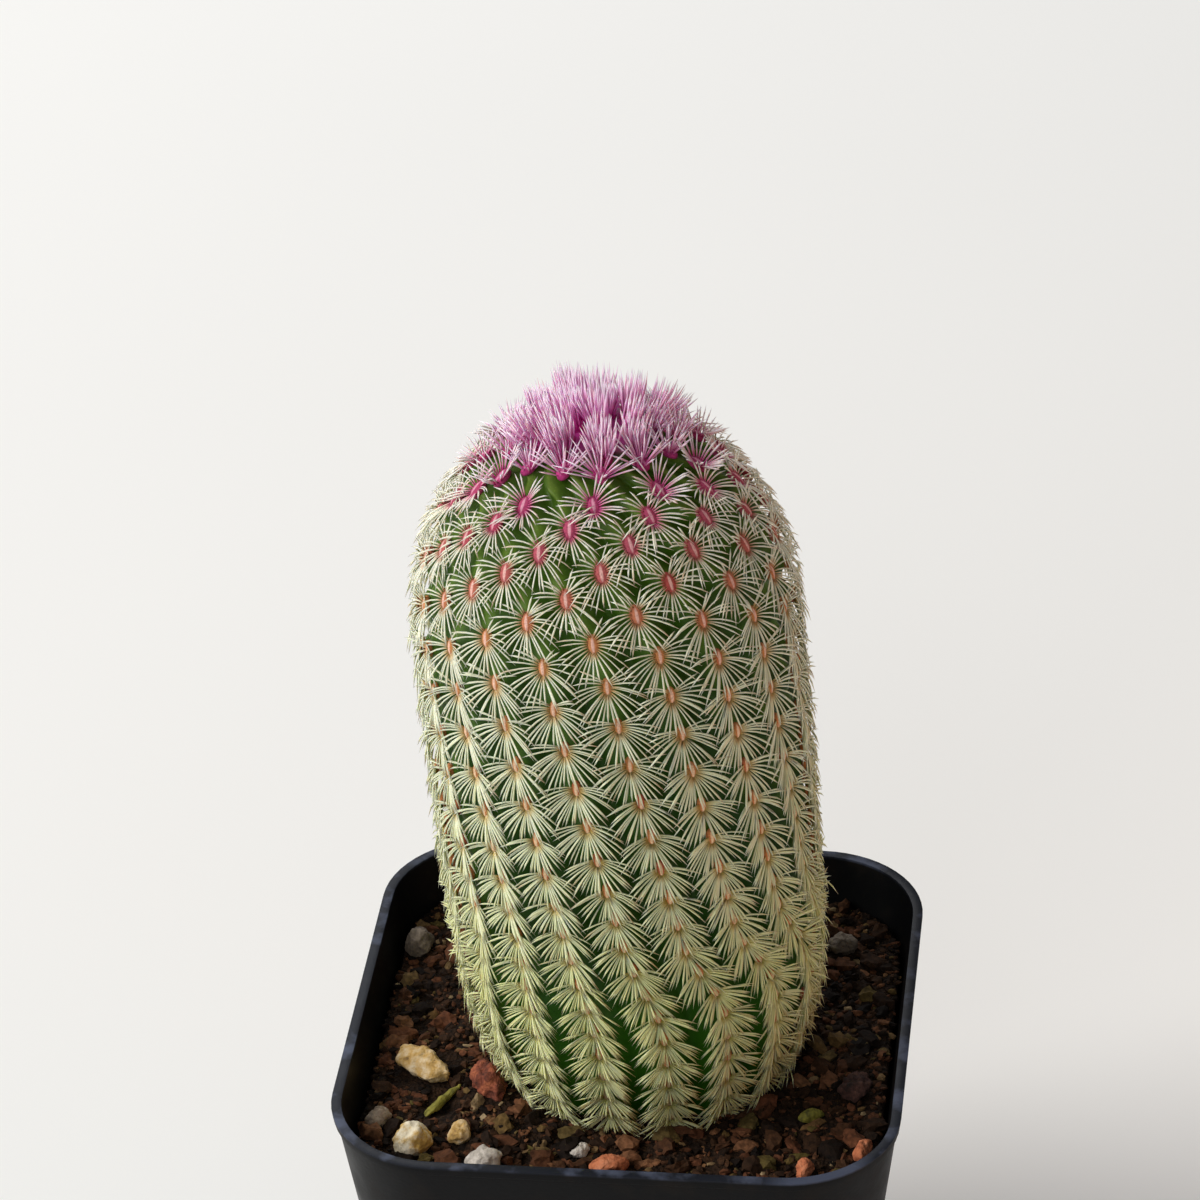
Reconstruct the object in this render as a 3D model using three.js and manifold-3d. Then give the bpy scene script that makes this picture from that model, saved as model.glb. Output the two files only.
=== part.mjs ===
// A rainbow hedgehog cactus in a square nursery pot, in millimetres, +Z up.
// The origin is on the ground under the middle of the pot. -Y is the pot's front.
import * as THREE from "three";
import Module from "manifold-3d";
import { mergeVertices } from "three/addons/utils/BufferGeometryUtils.js";

const wasm = await Module();
wasm.setup();

// Pot: a thin tapered square cup with a slim lip round its rim and a floor raised inside its foot.
const POT_HEIGHT = 65;
const RIM_SIDE = 70;
const RIM_CORNER = 14;
const FOOT_SIDE = 52;
const FOOT_CORNER = 11;
const WALL = 1.1;
const LIP_OUT = 0.3;
const LIP_HEIGHT = 1.2;
const FOOT_WIDTH = 3;
const FLOOR_RECESS = 1.6;
const FLOOR = 1.4;
const DRAIN_RADIUS = 3;
const DRAIN_SPACING = 26;
const CORNER_STEPS = 6;

// Potting mix: fills the pot to a little below its rim, with grit on it as relief.
const SOIL_DROP = 6;
const SOIL_LEVEL = POT_HEIGHT - SOIL_DROP;
const SEAT_GAP = 0.3;
const SOIL_RAYS = 40;
const SOIL_BANDS = 5;
const SOIL_SWELL = 0.55;
const GRIT_COUNT = 26;
const GRIT_SIZES = [0.9, 1.7];

// Loose pieces on the soil: [name, x, y, half sizes, turn in degrees, colour].
const LOOSE = [
  ["stone_left", -26, -7.6, [4.9, 2.2, 2.1], -37, 0xcdb28a],
  ["stone_front_left", -25, -23, [2.9, 2.5, 2.5], 60, 0xe0d5b8],
  ["stone_front", -15.7, -26.6, [2.7, 2.3, 2.2], 15, 0xdcd9dc],
  ["pebble_front_left", -19.6, -20.8, [1.8, 1.5, 1.6], 100, 0xcbb07a],
  ["pebble_left", -29.9, -18.4, [2.2, 1.6, 1.5], 60, 0xa79d93],
  ["pebble_front", -4.3, -22.9, [1.5, 1.2, 1.2], 30, 0xcfc6c0],
  ["pebble_back_left", -30.2, 18.2, [2.6, 1.8, 2.3], 85, 0x776a62],
  ["pebble_back_right", 24.6, 21.8, [2.4, 1.9, 1.8], 10, 0x8a8283],
  ["bark_left", -17.4, -10.6, [4.2, 2.2, 2.5], -59, 0x8e4a34],
  ["bark_right", 28.4, -8.3, [2.6, 2, 1.7], 75, 0x4c3129],
  ["chip_front", -0.4, -26.2, [3.2, 1.5, 1.3], 12, 0xc0714a],
  ["chip_front_right", 23.4, -25.6, [1.7, 1.2, 1.5], 80, 0xc98672],
  ["chip_right", 30.2, -20.2, [2.2, 1, 1.3], 62, 0xbf6a3c],
  ["husk_right", 23.3, -14, [2.2, 1.1, 1.1], 28, 0xa39a3c],
  ["twig_left", -22.7, -14.2, [4.9, 0.7, 0.75], 62, 0x8a8a3a],
];
const LOOSE_SUNK = 0.35;
const LOOSE_ROUGHNESS = 0.4;
const LOOSE_GAP = 0.5;

// Stem: a round column that leans and bends a little, with a narrow base and a domed top.
const STEM_FOOT = new THREE.Vector2(2, -0.1);
const STEM_LEAN = new THREE.Vector2(-2, -1.7);
const STEM_BEND = new THREE.Vector2(-1.4, 2.2);
const STEM_RETURN = new THREE.Vector2(0.5, 0);
const BEND_SPAN = 50;
const STEM_RADIUS = 22.2;
const FOOT_NARROWING = 5.4;
const FOOT_FADE = 8;
const SHOULDER_HEIGHT = 62;
const DOME_HEIGHT = 26;
const DOME_POWER = 2.35;

// Ribs: they slant, more so near the top, and carry an areole at every step.
const RIBS = 20;
const STEPS_PER_TURN = 11; // areole steps that a level line gains in one turn of the stem
const RIB_DEPTH = 2.5;
const RIB_TURN = -2.66; // angle of the first rib's foot from the front, in radians
const SLANT = THREE.MathUtils.degToRad(9.7);
const SLANT_ZONE = [12, 26];
const SWIRL = THREE.MathUtils.degToRad(35);
const SWIRL_ZONE = [66, 76];
const STEP_LOW = 3.5;
const STEP_HIGH = 5.1;
const STEP_ZONE = [26, 58];
const NOTCH_DEPTH = 0.7;
const FIRST_AREOLE = 3.2;
const FOOT_SPREAD = 0.21; // how much further apart the ribs stand at the front of the foot
const SPREAD_ZONE = [18, 30];
const SPREAD_FROM = -0.2; // angle of the rib that stays in its place, from the front
const ARC_STEP = 0.2;

// Areoles and their radial spines, by clockwise turn from the tip of the stem, in degrees.
const AREOLE_RISE = 0.75;
const AREOLE_LONG = 0.75;
const AREOLE_WIDE = 0.5;
const AREOLE_CORNERS = [0, 90, 180, 270];
const SPINES = [67, 113, 247, 293];
const SPINE_REACH = 0.5; // of the distance from groove to groove
const SPINE_LIFT = 0.26; // rise over run

// The buried end of the stem and its root: [depth, radius].
const BURIED = [
  [26, 1.3],
  [17, 2.6],
  [10, 8],
  [4, 14.2],
];

// Crown: the domed growing point past the last areoles, with its dense young spines.
const CROWN_RADIUS = 11.8;
const CROWN_RINGS = [9, 6, 3];
const YOUNG_SPINES = 110;
const YOUNG_LENGTHS = [4.4, 6.4];
const YOUNG_RADIUS = 0.42;
const YOUNG_ROOT = 1.8;
const YOUNG_REACH = 10.8;
const YOUNG_SPREAD = THREE.MathUtils.degToRad(46);

const GOLDEN_ANGLE = Math.PI * (3 - Math.sqrt(5));

/** A seeded source of numbers from 0 to 1. */
function seeded(seed) {
  let state = seed;
  return () => {
    state = (state * 1664525 + 1013904223) % 4294967296;
    return state / 4294967296;
  };
}

/** A closed geometry from points and triangles that index them. */
function geometryOf(points, triangles) {
  const flat = points.flatMap((p) => [p.x, p.y, p.z]);
  const geometry = new THREE.BufferGeometry();
  geometry.setAttribute("position", new THREE.Float32BufferAttribute(flat, 3));
  geometry.setIndex(triangles);
  geometry.computeVertexNormals();
  return geometry;
}

/** A solid through loops of equal length that turn left seen from above the first, closed at both ends. */
function loft(loops) {
  const count = loops[0].length;
  const points = loops.flat();
  const triangles = [];
  for (let row = 0; row + 1 < loops.length; row++) {
    for (let i = 0; i < count; i++) {
      const a = row * count + i;
      const b = row * count + ((i + 1) % count);
      triangles.push(a, b, b + count, a, b + count, a + count);
    }
  }
  const last = (loops.length - 1) * count;
  const startCentre = points.push(centreOf(loops[0])) - 1;
  const endCentre = points.push(centreOf(loops.at(-1))) - 1;
  for (let i = 0; i < count; i++) {
    const next = (i + 1) % count;
    triangles.push(startCentre, next, i, endCentre, last + i, last + next);
  }
  return geometryOf(points, triangles);
}

function centreOf(loop) {
  const sum = loop.reduce((total, p) => total.add(p), new THREE.Vector3());
  return sum.divideScalar(loop.length);
}

/** A geometry as a solid that can be joined and cut. */
function solidOf(geometry) {
  const bare = geometry.clone();
  bare.deleteAttribute("normal");
  bare.deleteAttribute("uv");
  const merged = mergeVertices(bare, 1e-4);
  const mesh = new wasm.Mesh({
    numProp: 3,
    vertProperties: new Float32Array(merged.attributes.position.array),
    triVerts: new Uint32Array(merged.index.array),
  });
  return new wasm.Manifold(mesh);
}

/** A joined or cut solid as a geometry again. */
function geometryOfSolid(solid) {
  const { vertProperties, triVerts } = solid.getMesh();
  const geometry = new THREE.BufferGeometry();
  geometry.setAttribute("position", new THREE.BufferAttribute(vertProperties, 3));
  geometry.setIndex(new THREE.BufferAttribute(triVerts, 1));
  geometry.computeVertexNormals();
  return geometry;
}

function meshOf(name, geometry, colour, roughness) {
  const material = new THREE.MeshStandardMaterial({ color: colour, roughness, metalness: 0 });
  const mesh = new THREE.Mesh(geometry, material);
  mesh.name = name;
  return mesh;
}

// ---------------------------------------------------------------- pot

/** Half the pot's outer side and its corner radius at a height, without the lip. */
function potOutline(z) {
  const share = z / POT_HEIGHT;
  return {
    half: THREE.MathUtils.lerp(FOOT_SIDE, RIM_SIDE - 2 * LIP_OUT, share) / 2,
    corner: THREE.MathUtils.lerp(FOOT_CORNER, RIM_CORNER - LIP_OUT, share),
  };
}

/** A rounded square, counter-clockwise seen from above; inset moves its sides in. */
function squareLoop(z, inset) {
  const { half, corner } = potOutline(z);
  const radius = corner - inset;
  const loop = [];
  for (let quarter = 0; quarter < 4; quarter++) {
    const middle = ((quarter + 0.5) * Math.PI) / 2;
    const centre = new THREE.Vector2(Math.cos(middle), Math.sin(middle)).multiplyScalar(
      (half - corner) * Math.SQRT2,
    );
    for (let step = 0; step <= CORNER_STEPS; step++) {
      const angle = ((quarter + step / CORNER_STEPS) * Math.PI) / 2;
      loop.push(
        new THREE.Vector3(
          centre.x + radius * Math.cos(angle),
          centre.y + radius * Math.sin(angle),
          z,
        ),
      );
    }
  }
  return loop;
}

function potGeometry() {
  const floorTop = FLOOR_RECESS + FLOOR;
  const lipFoot = POT_HEIGHT - LIP_HEIGHT;
  const body = loft([
    squareLoop(FLOOR_RECESS, FOOT_WIDTH),
    squareLoop(0, FOOT_WIDTH),
    squareLoop(0, 0),
    squareLoop(lipFoot - LIP_OUT, 0),
    squareLoop(lipFoot, -LIP_OUT),
    squareLoop(POT_HEIGHT - LIP_OUT / 2, -LIP_OUT),
    squareLoop(POT_HEIGHT, -LIP_OUT / 2),
    squareLoop(POT_HEIGHT, WALL - LIP_OUT / 2),
    squareLoop(POT_HEIGHT - LIP_OUT / 2, WALL),
    squareLoop(floorTop + WALL, WALL),
    squareLoop(floorTop, 2 * WALL),
  ]);
  let pot = solidOf(body);
  const drain = new THREE.CylinderGeometry(DRAIN_RADIUS, DRAIN_RADIUS, 4 * FLOOR, 12);
  drain.rotateX(Math.PI / 2);
  const corners = [-1, 1].flatMap((x) => [-1, 1].map((y) => [x, y]));
  for (const [x, y] of [[0, 0], ...corners]) {
    const hole = drain.clone();
    hole.translate((x * DRAIN_SPACING) / 2, (y * DRAIN_SPACING) / 2, FLOOR_RECESS + FLOOR / 2);
    pot = pot.subtract(solidOf(hole));
  }
  return geometryOfSolid(pot);
}

// ---------------------------------------------------------------- stem

/** The stem's centre line, and the frame across it, at a height above the soil. */
function stemFrame(height) {
  const share = height / BEND_SPAN;
  const place = STEM_FOOT.clone()
    .addScaledVector(STEM_LEAN, share)
    .addScaledVector(STEM_BEND, share ** 2)
    .addScaledVector(STEM_RETURN, share ** 3);
  const slope = STEM_LEAN.clone()
    .addScaledVector(STEM_BEND, 2 * share)
    .addScaledVector(STEM_RETURN, 3 * share ** 2)
    .divideScalar(BEND_SPAN);
  const centre = new THREE.Vector3(place.x, place.y, SOIL_LEVEL + height);
  const along = new THREE.Vector3(slope.x, slope.y, 1).normalize();
  const right = new THREE.Vector3(1, 0, 0).addScaledVector(along, -along.x).normalize();
  const back = new THREE.Vector3().crossVectors(along, right);
  return { centre, along, right, back };
}

/** A point of the stem: angle runs from the front to the right. */
function stemPoint(height, angle, radius) {
  const { centre, right, back } = stemFrame(height);
  return centre
    .addScaledVector(right, radius * Math.sin(angle))
    .addScaledVector(back, -radius * Math.cos(angle));
}

/** Radius over the ribs at a height above the soil. */
function crestRadius(height) {
  const column = STEM_RADIUS - FOOT_NARROWING * Math.exp(-height / FOOT_FADE);
  const share = THREE.MathUtils.clamp((height - SHOULDER_HEIGHT) / DOME_HEIGHT, 0, 1);
  return column * Math.sqrt(1 - share ** DOME_POWER);
}

/** Height of the dome where its radius is as given. */
function domeHeight(radius) {
  return SHOULDER_HEIGHT + DOME_HEIGHT * (1 - (radius / STEM_RADIUS) ** 2) ** (1 / DOME_POWER);
}

/** How the stem grew, from the soil to the crown: height, turn of the ribs and areole steps, by arc. */
function growthOf() {
  const rows = [{ height: 0, turn: 0, steps: 0 }];
  for (let arc = 0; crestRadius(rows.at(-1).height) > CROWN_RADIUS || arc < SHOULDER_HEIGHT; ) {
    const { height, turn, steps } = rows.at(-1);
    const radius = crestRadius(height);
    const flare = (crestRadius(height + ARC_STEP) - radius) / ARC_STEP;
    const low = SLANT * THREE.MathUtils.smoothstep(arc, ...SLANT_ZONE);
    const slant = THREE.MathUtils.lerp(low, SWIRL, THREE.MathUtils.smoothstep(arc, ...SWIRL_ZONE));
    const step = THREE.MathUtils.lerp(STEP_LOW, STEP_HIGH, THREE.MathUtils.smoothstep(arc, ...STEP_ZONE));
    rows.push({
      height: height + ARC_STEP / Math.hypot(1, flare),
      turn: turn - (ARC_STEP * Math.tan(slant)) / radius,
      steps: steps + ARC_STEP / step,
    });
    arc += ARC_STEP;
  }
  return rows;
}

const growth = growthOf();
const LEVELS = growth.at(-1).steps;

/** Height and turn of the ribs after a number of areole steps. */
function grownAt(steps) {
  const next = Math.max(1, growth.findIndex((row) => row.steps >= steps));
  const a = growth[next - 1];
  const b = growth[next];
  const share = (steps - a.steps) / (b.steps - a.steps);
  return {
    height: THREE.MathUtils.lerp(a.height, b.height, share),
    turn: THREE.MathUtils.lerp(a.turn, b.turn, share),
  };
}

/** Where a rib's rows start, in steps: each rib stands a little higher than the last, up to half a step. */
function ribStart(rib) {
  return ((STEPS_PER_TURN * rib) % (RIBS / 2)) / RIBS;
}

/** True where a row, which is half a step, has an areole on that rib. */
function hasAreole(row, rib) {
  return (row - Math.floor((STEPS_PER_TURN * rib) / (RIBS / 2))) % 2 === 0;
}

/** Angle of a column, which is half a rib, from the front. */
function columnAngle(column, height, turn) {
  const even = RIB_TURN + turn + (column * Math.PI) / RIBS;
  const spread = FOOT_SPREAD * (1 - THREE.MathUtils.smoothstep(height, ...SPREAD_ZONE));
  return even + spread * Math.sin(even - SPREAD_FROM);
}

/** A row's point on the crest of a rib or, half a rib on, in the groove. */
function ribPoint(row, column) {
  const rib = Math.floor(column / 2);
  const groove = column % 2 === 1;
  const nextRib = (rib + 1) % RIBS;
  const start = groove ? (ribStart(rib) + ribStart(nextRib)) / 2 : ribStart(rib);
  const { height, turn } = grownAt(Math.min(row / 2 + start, LEVELS));
  const notch = hasAreole(row, rib) ? 0 : NOTCH_DEPTH;
  const depth = groove ? RIB_DEPTH : notch;
  return stemPoint(height, columnAngle(column, height, turn), crestRadius(height) - depth);
}

/** Joins two loops that turn clockwise, given as [degrees, point index], with triangles that face out. */
function stitch(inner, outer, triangles) {
  let i = 0;
  let o = 0;
  const at = (loop, n) => loop[n % loop.length][1];
  const turnOf = (loop, n) => loop[n % loop.length][0] + (n >= loop.length ? 360 : 0);
  while (i < inner.length || o < outer.length) {
    const outerNext = i >= inner.length || turnOf(outer, o + 1) <= turnOf(inner, i + 1);
    if (o < outer.length && outerNext) {
      triangles.push(at(inner, i), at(outer, o + 1), at(outer, o));
      o++;
    } else {
      triangles.push(at(inner, i), at(inner, i + 1), at(outer, o));
      i++;
    }
  }
}

/** An areole with its spines, raised from the stem inside the four points round it. */
function addAreole(points, triangles, centre, ring) {
  const [north, east, south, west] = ring.map((index) => points[index]);
  const up = north.clone().sub(south).normalize();
  const out = new THREE.Vector3().crossVectors(east.clone().sub(west), up).normalize();
  const side = new THREE.Vector3().crossVectors(up, out);
  const towards = (degrees) => {
    const angle = THREE.MathUtils.degToRad(degrees);
    return { up: Math.cos(angle), side: Math.sin(angle) };
  };
  const corners = AREOLE_CORNERS.map((degrees) => {
    const way = towards(degrees);
    const corner = points[centre]
      .clone()
      .addScaledVector(up, way.up * AREOLE_LONG)
      .addScaledVector(side, way.side * AREOLE_WIDE)
      .addScaledVector(out, AREOLE_RISE / 3);
    return [degrees, points.push(corner) - 1];
  });
  points[centre].addScaledVector(out, AREOLE_RISE);
  stitch(corners, [0, 90, 180, 270].map((degrees, i) => [degrees, ring[i]]), triangles);
  const reach = SPINE_REACH * east.distanceTo(west);
  SPINES.forEach((degrees, i) => {
    const way = towards(degrees);
    const tip = points[centre]
      .clone()
      .addScaledVector(up, way.up * reach)
      .addScaledVector(side, way.side * reach)
      .addScaledVector(out, reach * SPINE_LIFT);
    const t = points.push(tip) - 1;
    const from = corners[i][1];
    const to = corners[(i + 1) % corners.length][1];
    triangles.push(centre, to, t, to, from, t, from, centre, t);
  });
}

function stemGeometry() {
  const columns = 2 * RIBS;
  const points = [];
  const triangles = [];
  const addRow = (pointAt) => {
    for (let column = 0; column < columns; column++) points.push(pointAt(column));
  };
  for (const [depth, radius] of BURIED) {
    addRow((column) => stemPoint(-depth, columnAngle(column, -depth, 0), radius));
  }
  const rows = Math.floor(2 * LEVELS);
  for (let row = 0; row <= rows; row++) addRow((column) => ribPoint(row, column));
  for (const radius of CROWN_RINGS) {
    const height = domeHeight(radius);
    addRow((column) => stemPoint(height, columnAngle(column, height, growth.at(-1).turn), radius));
  }

  const allRows = BURIED.length + rows + 1 + CROWN_RINGS.length;
  const indexOf = (row, column) => row * columns + ((column + columns) % columns);
  const ribRow = (row) => row - BURIED.length;
  const firstSpined = (row, rib) =>
    grownAt(ribRow(row) / 2 + ribStart(rib)).height > FIRST_AREOLE && ribRow(row) < rows;
  const isAreole = (row, column) => {
    const rib = column / 2;
    return column % 2 === 0 && ribRow(row) > 0 && hasAreole(ribRow(row), rib) && firstSpined(row, rib);
  };
  const addFace = (...corners) => {
    const plain = corners.every(([row, column]) => !isAreole(row, (column + columns) % columns));
    if (plain) triangles.push(...corners.map(([row, column]) => indexOf(row, column)));
  };
  for (let row = 0; row + 1 < allRows; row++) {
    for (let crest = 0; crest < columns; crest += 2) {
      const lowAreole = hasAreole(ribRow(row), crest / 2);
      for (const side of [-1, 1]) {
        const low = [row, crest];
        const high = [row + 1, crest];
        const lowSide = [row, crest + side];
        const highSide = [row + 1, crest + side];
        const faces = lowAreole
          ? [[low, lowSide, high], [lowSide, highSide, high]]
          : [[low, lowSide, highSide], [low, highSide, high]];
        for (const [a, b, c] of faces) side > 0 ? addFace(a, b, c) : addFace(a, c, b);
      }
    }
  }
  const bottom = points.push(stemPoint(-BURIED[0][0], 0, 0)) - 1;
  const top = points.push(stemPoint(domeHeight(0), 0, 0)) - 1;
  for (let column = 0; column < columns; column++) {
    triangles.push(bottom, indexOf(0, column + 1), indexOf(0, column));
    triangles.push(top, indexOf(allRows - 1, column), indexOf(allRows - 1, column + 1));
  }
  for (let row = BURIED.length; row + 1 < allRows; row++) {
    for (let column = 0; column < columns; column += 2) {
      if (!isAreole(row, column)) continue;
      const ring = [
        indexOf(row + 1, column),
        indexOf(row, column + 1),
        indexOf(row - 1, column),
        indexOf(row, column - 1),
      ];
      addAreole(points, triangles, indexOf(row, column), ring);
    }
  }
  return geometryOf(points, triangles);
}

// ---------------------------------------------------------------- crown

/** A young spine, rooted in the dome at a distance from its middle, that leans out by the spread. */
function youngSpine(distance, angle, length, spread) {
  const height = domeHeight(distance);
  const { centre, along } = stemFrame(height);
  const foot = stemPoint(height, angle, distance);
  const outward = foot.clone().sub(centre).normalize();
  const way = along.clone().multiplyScalar(Math.cos(spread)).addScaledVector(outward, Math.sin(spread));
  const spine = new THREE.ConeGeometry(YOUNG_RADIUS, length + YOUNG_ROOT, 3);
  spine.translate(0, (length - YOUNG_ROOT) / 2, 0);
  spine.applyQuaternion(new THREE.Quaternion().setFromUnitVectors(new THREE.Vector3(0, 1, 0), way));
  spine.translate(foot.x, foot.y, foot.z);
  return spine;
}

function crownSpines() {
  const random = seeded(7);
  const spines = [];
  for (let i = 0; i < YOUNG_SPINES; i++) {
    const share = Math.sqrt((i + 0.5) / YOUNG_SPINES);
    const length = THREE.MathUtils.lerp(...YOUNG_LENGTHS, random());
    const spread = YOUNG_SPREAD * share ** 1.5 * (0.8 + 0.4 * random());
    spines.push(youngSpine(YOUNG_REACH * share, i * GOLDEN_ANGLE, length, spread));
  }
  return spines;
}

/** The whole cactus: one grown piece, with its crown of spines. */
function cactusGeometry() {
  const crown = wasm.Manifold.union(crownSpines().map(solidOf));
  return geometryOfSolid(solidOf(stemGeometry()).add(crown));
}

// ---------------------------------------------------------------- soil

/** Distance from the pot's middle to its inner wall along a direction. */
function wallDistance(angle, z, inset) {
  const outline = potOutline(z);
  const half = outline.half - inset;
  const corner = outline.corner - inset;
  const x = Math.abs(Math.cos(angle));
  const y = Math.abs(Math.sin(angle));
  const flat = half / Math.max(x, y);
  if (flat * Math.min(x, y) <= half - corner) return flat;
  const along = (half - corner) * (x + y);
  const across = (half - corner) * (x - y);
  return along + Math.sqrt(corner ** 2 - across ** 2);
}

/** Height of the soil, which swells a little and lies level round the stem. */
function soilHeight(x, y, shareFromStem) {
  const swell = Math.sin(x * 0.31 + 0.6) * Math.cos(y * 0.27) + Math.sin(x * 0.62 - y * 0.51);
  return SOIL_LEVEL + SOIL_SWELL * swell * Math.sqrt(shareFromStem) * 0.8;
}

function soilGeometry() {
  const bottom = FLOOR_RECESS + FLOOR + SEAT_GAP;
  const inset = WALL + SEAT_GAP + 0.1;
  const angles = Array.from({ length: SOIL_RAYS }, (_, i) => (i * 2 * Math.PI) / SOIL_RAYS);
  const wallLoop = (z, more) =>
    angles.map((angle) => {
      const distance = wallDistance(angle, z, inset + more);
      return new THREE.Vector3(distance * Math.cos(angle), distance * Math.sin(angle), z);
    });
  const holeLoop = (depth, radius) => {
    const { centre } = stemFrame(-depth);
    return angles.map(
      (angle) =>
        new THREE.Vector3(
          centre.x + radius * Math.cos(angle),
          centre.y + radius * Math.sin(angle),
          SOIL_LEVEL - depth,
        ),
    );
  };
  const rim = wallLoop(SOIL_LEVEL, 0);
  const mouth = holeLoop(0, crestRadius(0) + 2 * SEAT_GAP);
  const surface = Array.from({ length: SOIL_BANDS + 1 }, (_, band) =>
    rim.map((edge, i) => {
      const point = edge.clone().lerp(mouth[i], band / SOIL_BANDS);
      point.z = soilHeight(point.x, point.y, 1 - band / SOIL_BANDS);
      return point;
    }),
  );
  const hole = BURIED.toReversed().map(([depth, radius]) =>
    holeLoop(depth + SEAT_GAP, radius + 2 * SEAT_GAP),
  );
  const body = loft([wallLoop(bottom, WALL), wallLoop(bottom + WALL, 0), ...surface, ...hole]);
  const grown = solidOf(body).add(wasm.Manifold.union(gritStones().map(solidOf)));
  return geometryOfSolid(grown.subtract(wasm.Manifold.union(LOOSE.map(dimple))));
}

/** Grit on the soil, half sunk, between the stem and the wall and clear of the loose pieces. */
function gritStones() {
  const random = seeded(23);
  const stones = [];
  for (let i = 0; i < GRIT_COUNT; i++) {
    const size = THREE.MathUtils.lerp(...GRIT_SIZES, random() ** 2);
    const angle = i * GOLDEN_ANGLE;
    const inner = crestRadius(FIRST_AREOLE) + 3.5 + size;
    const outer = wallDistance(angle, SOIL_LEVEL, WALL + 1 + size);
    const distance = THREE.MathUtils.lerp(inner, outer, random());
    const x = STEM_FOOT.x + distance * Math.cos(angle);
    const y = distance * Math.sin(angle);
    const stone = new THREE.IcosahedronGeometry(size, 0);
    stone.scale(1, 0.75, 0.7);
    stone.rotateX(random() * 0.8);
    stone.rotateZ(random() * Math.PI);
    stone.translate(x, y, soilHeight(x, y, 0.6) + 0.1 * size);
    const taken = LOOSE.some(([, lx, ly, [half]]) => Math.hypot(x - lx, y - ly) < half + size + 1);
    if (distance < outer && !taken) stones.push(stone);
  }
  return stones;
}

// ---------------------------------------------------------------- loose pieces

/** A stone or chip as an uneven lump about its own middle; margin makes it larger all round. */
function lump(index, halves, margin) {
  const random = seeded(101 + 17 * index);
  const shape = new THREE.IcosahedronGeometry(1, 0);
  shape.deleteAttribute("normal");
  shape.deleteAttribute("uv");
  const merged = mergeVertices(shape, 1e-4);
  const places = merged.attributes.position;
  for (let i = 0; i < places.count; i++) {
    const stretch = 1 + LOOSE_ROUGHNESS * (random() - 0.5);
    places.setXYZ(i, places.getX(i) * stretch, places.getY(i) * stretch, places.getZ(i) * stretch);
  }
  merged.scale(...halves.map((half) => half + margin));
  return merged;
}

/** The turn and place of a loose piece: it lies a little sunk in the soil. */
function lay(geometry, [, x, y, halves, turn]) {
  geometry.rotateZ(THREE.MathUtils.degToRad(turn));
  geometry.translate(x, y, soilHeight(x, y, 0.6) + halves[2] * (1 - 2 * LOOSE_SUNK));
  return geometry;
}

/** The hollow that a loose piece has pressed in the soil. */
function dimple(row, index) {
  return solidOf(lay(lump(index, row[3], LOOSE_GAP), row));
}

function looseMesh(row, index) {
  const geometry = lay(lump(index, row[3], 0), row);
  geometry.computeVertexNormals();
  return meshOf(row[0], geometry, row[5], 0.85);
}

// ---------------------------------------------------------------- the whole

const group = new THREE.Group();
group.add(meshOf("pot", potGeometry(), 0x17181b, 0.45));
group.add(meshOf("soil", soilGeometry(), 0x3a2b22, 0.95));
group.add(meshOf("cactus", cactusGeometry(), 0x5f8a3c, 0.55));
group.add(...LOOSE.map(looseMesh));

export default group;
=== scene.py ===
"""A rainbow hedgehog cactus in a square nursery pot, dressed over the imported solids.

Sizes in the classes are millimetres in the frame of the solids: +Z up, -Y the pot's front, the origin on the
ground under the middle of the pot. They become metres where a mesh is made.
"""

import logging
import math
from collections.abc import Callable, Iterator
from contextlib import contextmanager
from dataclasses import dataclass, field
from enum import Enum
from functools import partial

import bmesh
import bpy
import numpy as np
from mathutils import Matrix, Vector
from mathutils.bvhtree import BVHTree


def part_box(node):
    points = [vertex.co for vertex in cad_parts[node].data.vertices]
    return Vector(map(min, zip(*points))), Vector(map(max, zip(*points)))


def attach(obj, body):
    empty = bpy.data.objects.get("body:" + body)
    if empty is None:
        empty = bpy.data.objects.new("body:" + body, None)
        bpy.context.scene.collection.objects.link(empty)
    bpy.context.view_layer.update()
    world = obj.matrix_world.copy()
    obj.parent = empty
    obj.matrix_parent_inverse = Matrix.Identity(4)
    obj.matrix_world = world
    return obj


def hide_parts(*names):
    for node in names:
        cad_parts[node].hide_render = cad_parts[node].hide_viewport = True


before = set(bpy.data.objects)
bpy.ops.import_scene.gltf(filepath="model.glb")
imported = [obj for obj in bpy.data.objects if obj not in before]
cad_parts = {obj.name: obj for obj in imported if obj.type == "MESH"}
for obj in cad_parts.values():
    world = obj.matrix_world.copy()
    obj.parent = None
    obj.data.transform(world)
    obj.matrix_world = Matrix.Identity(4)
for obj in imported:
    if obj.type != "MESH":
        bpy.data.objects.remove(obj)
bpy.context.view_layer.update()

LOG = logging.getLogger("potted_cactus")
MM = 0.001
GOLDEN_ANGLE = math.pi * (3 - math.sqrt(5))

Pair = tuple[float, float]
Triple = tuple[float, float, float]
Stops = tuple[tuple[float, str], ...]
Array = np.ndarray
Piece = bpy.types.Object
Socket = bpy.types.NodeSocket
Adder = Callable[..., Socket]

# Sockets whose name is shared by other data types are given by index. A Map Range node turns what lies between its
# 1 and 2 into what lies between its 3 and 4, and each pair is 0 and 1 unless given.
MIX_SHARE, MIX_A, MIX_B = 0, 6, 7
COLOUR_MIX = {"out": 2, "data_type": "RGBA"}
EASED = {"interpolation_type": "SMOOTHSTEP"}


class Element(Enum):
    """What an edit-mode selection picks, by its select mode and its name in a mesh."""

    VERTEX = ("VERT", "verts")
    EDGE = ("EDGE", "edges")
    FACE = ("FACE", "faces")


# ---------------------------------------------------------------- small tools


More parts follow.
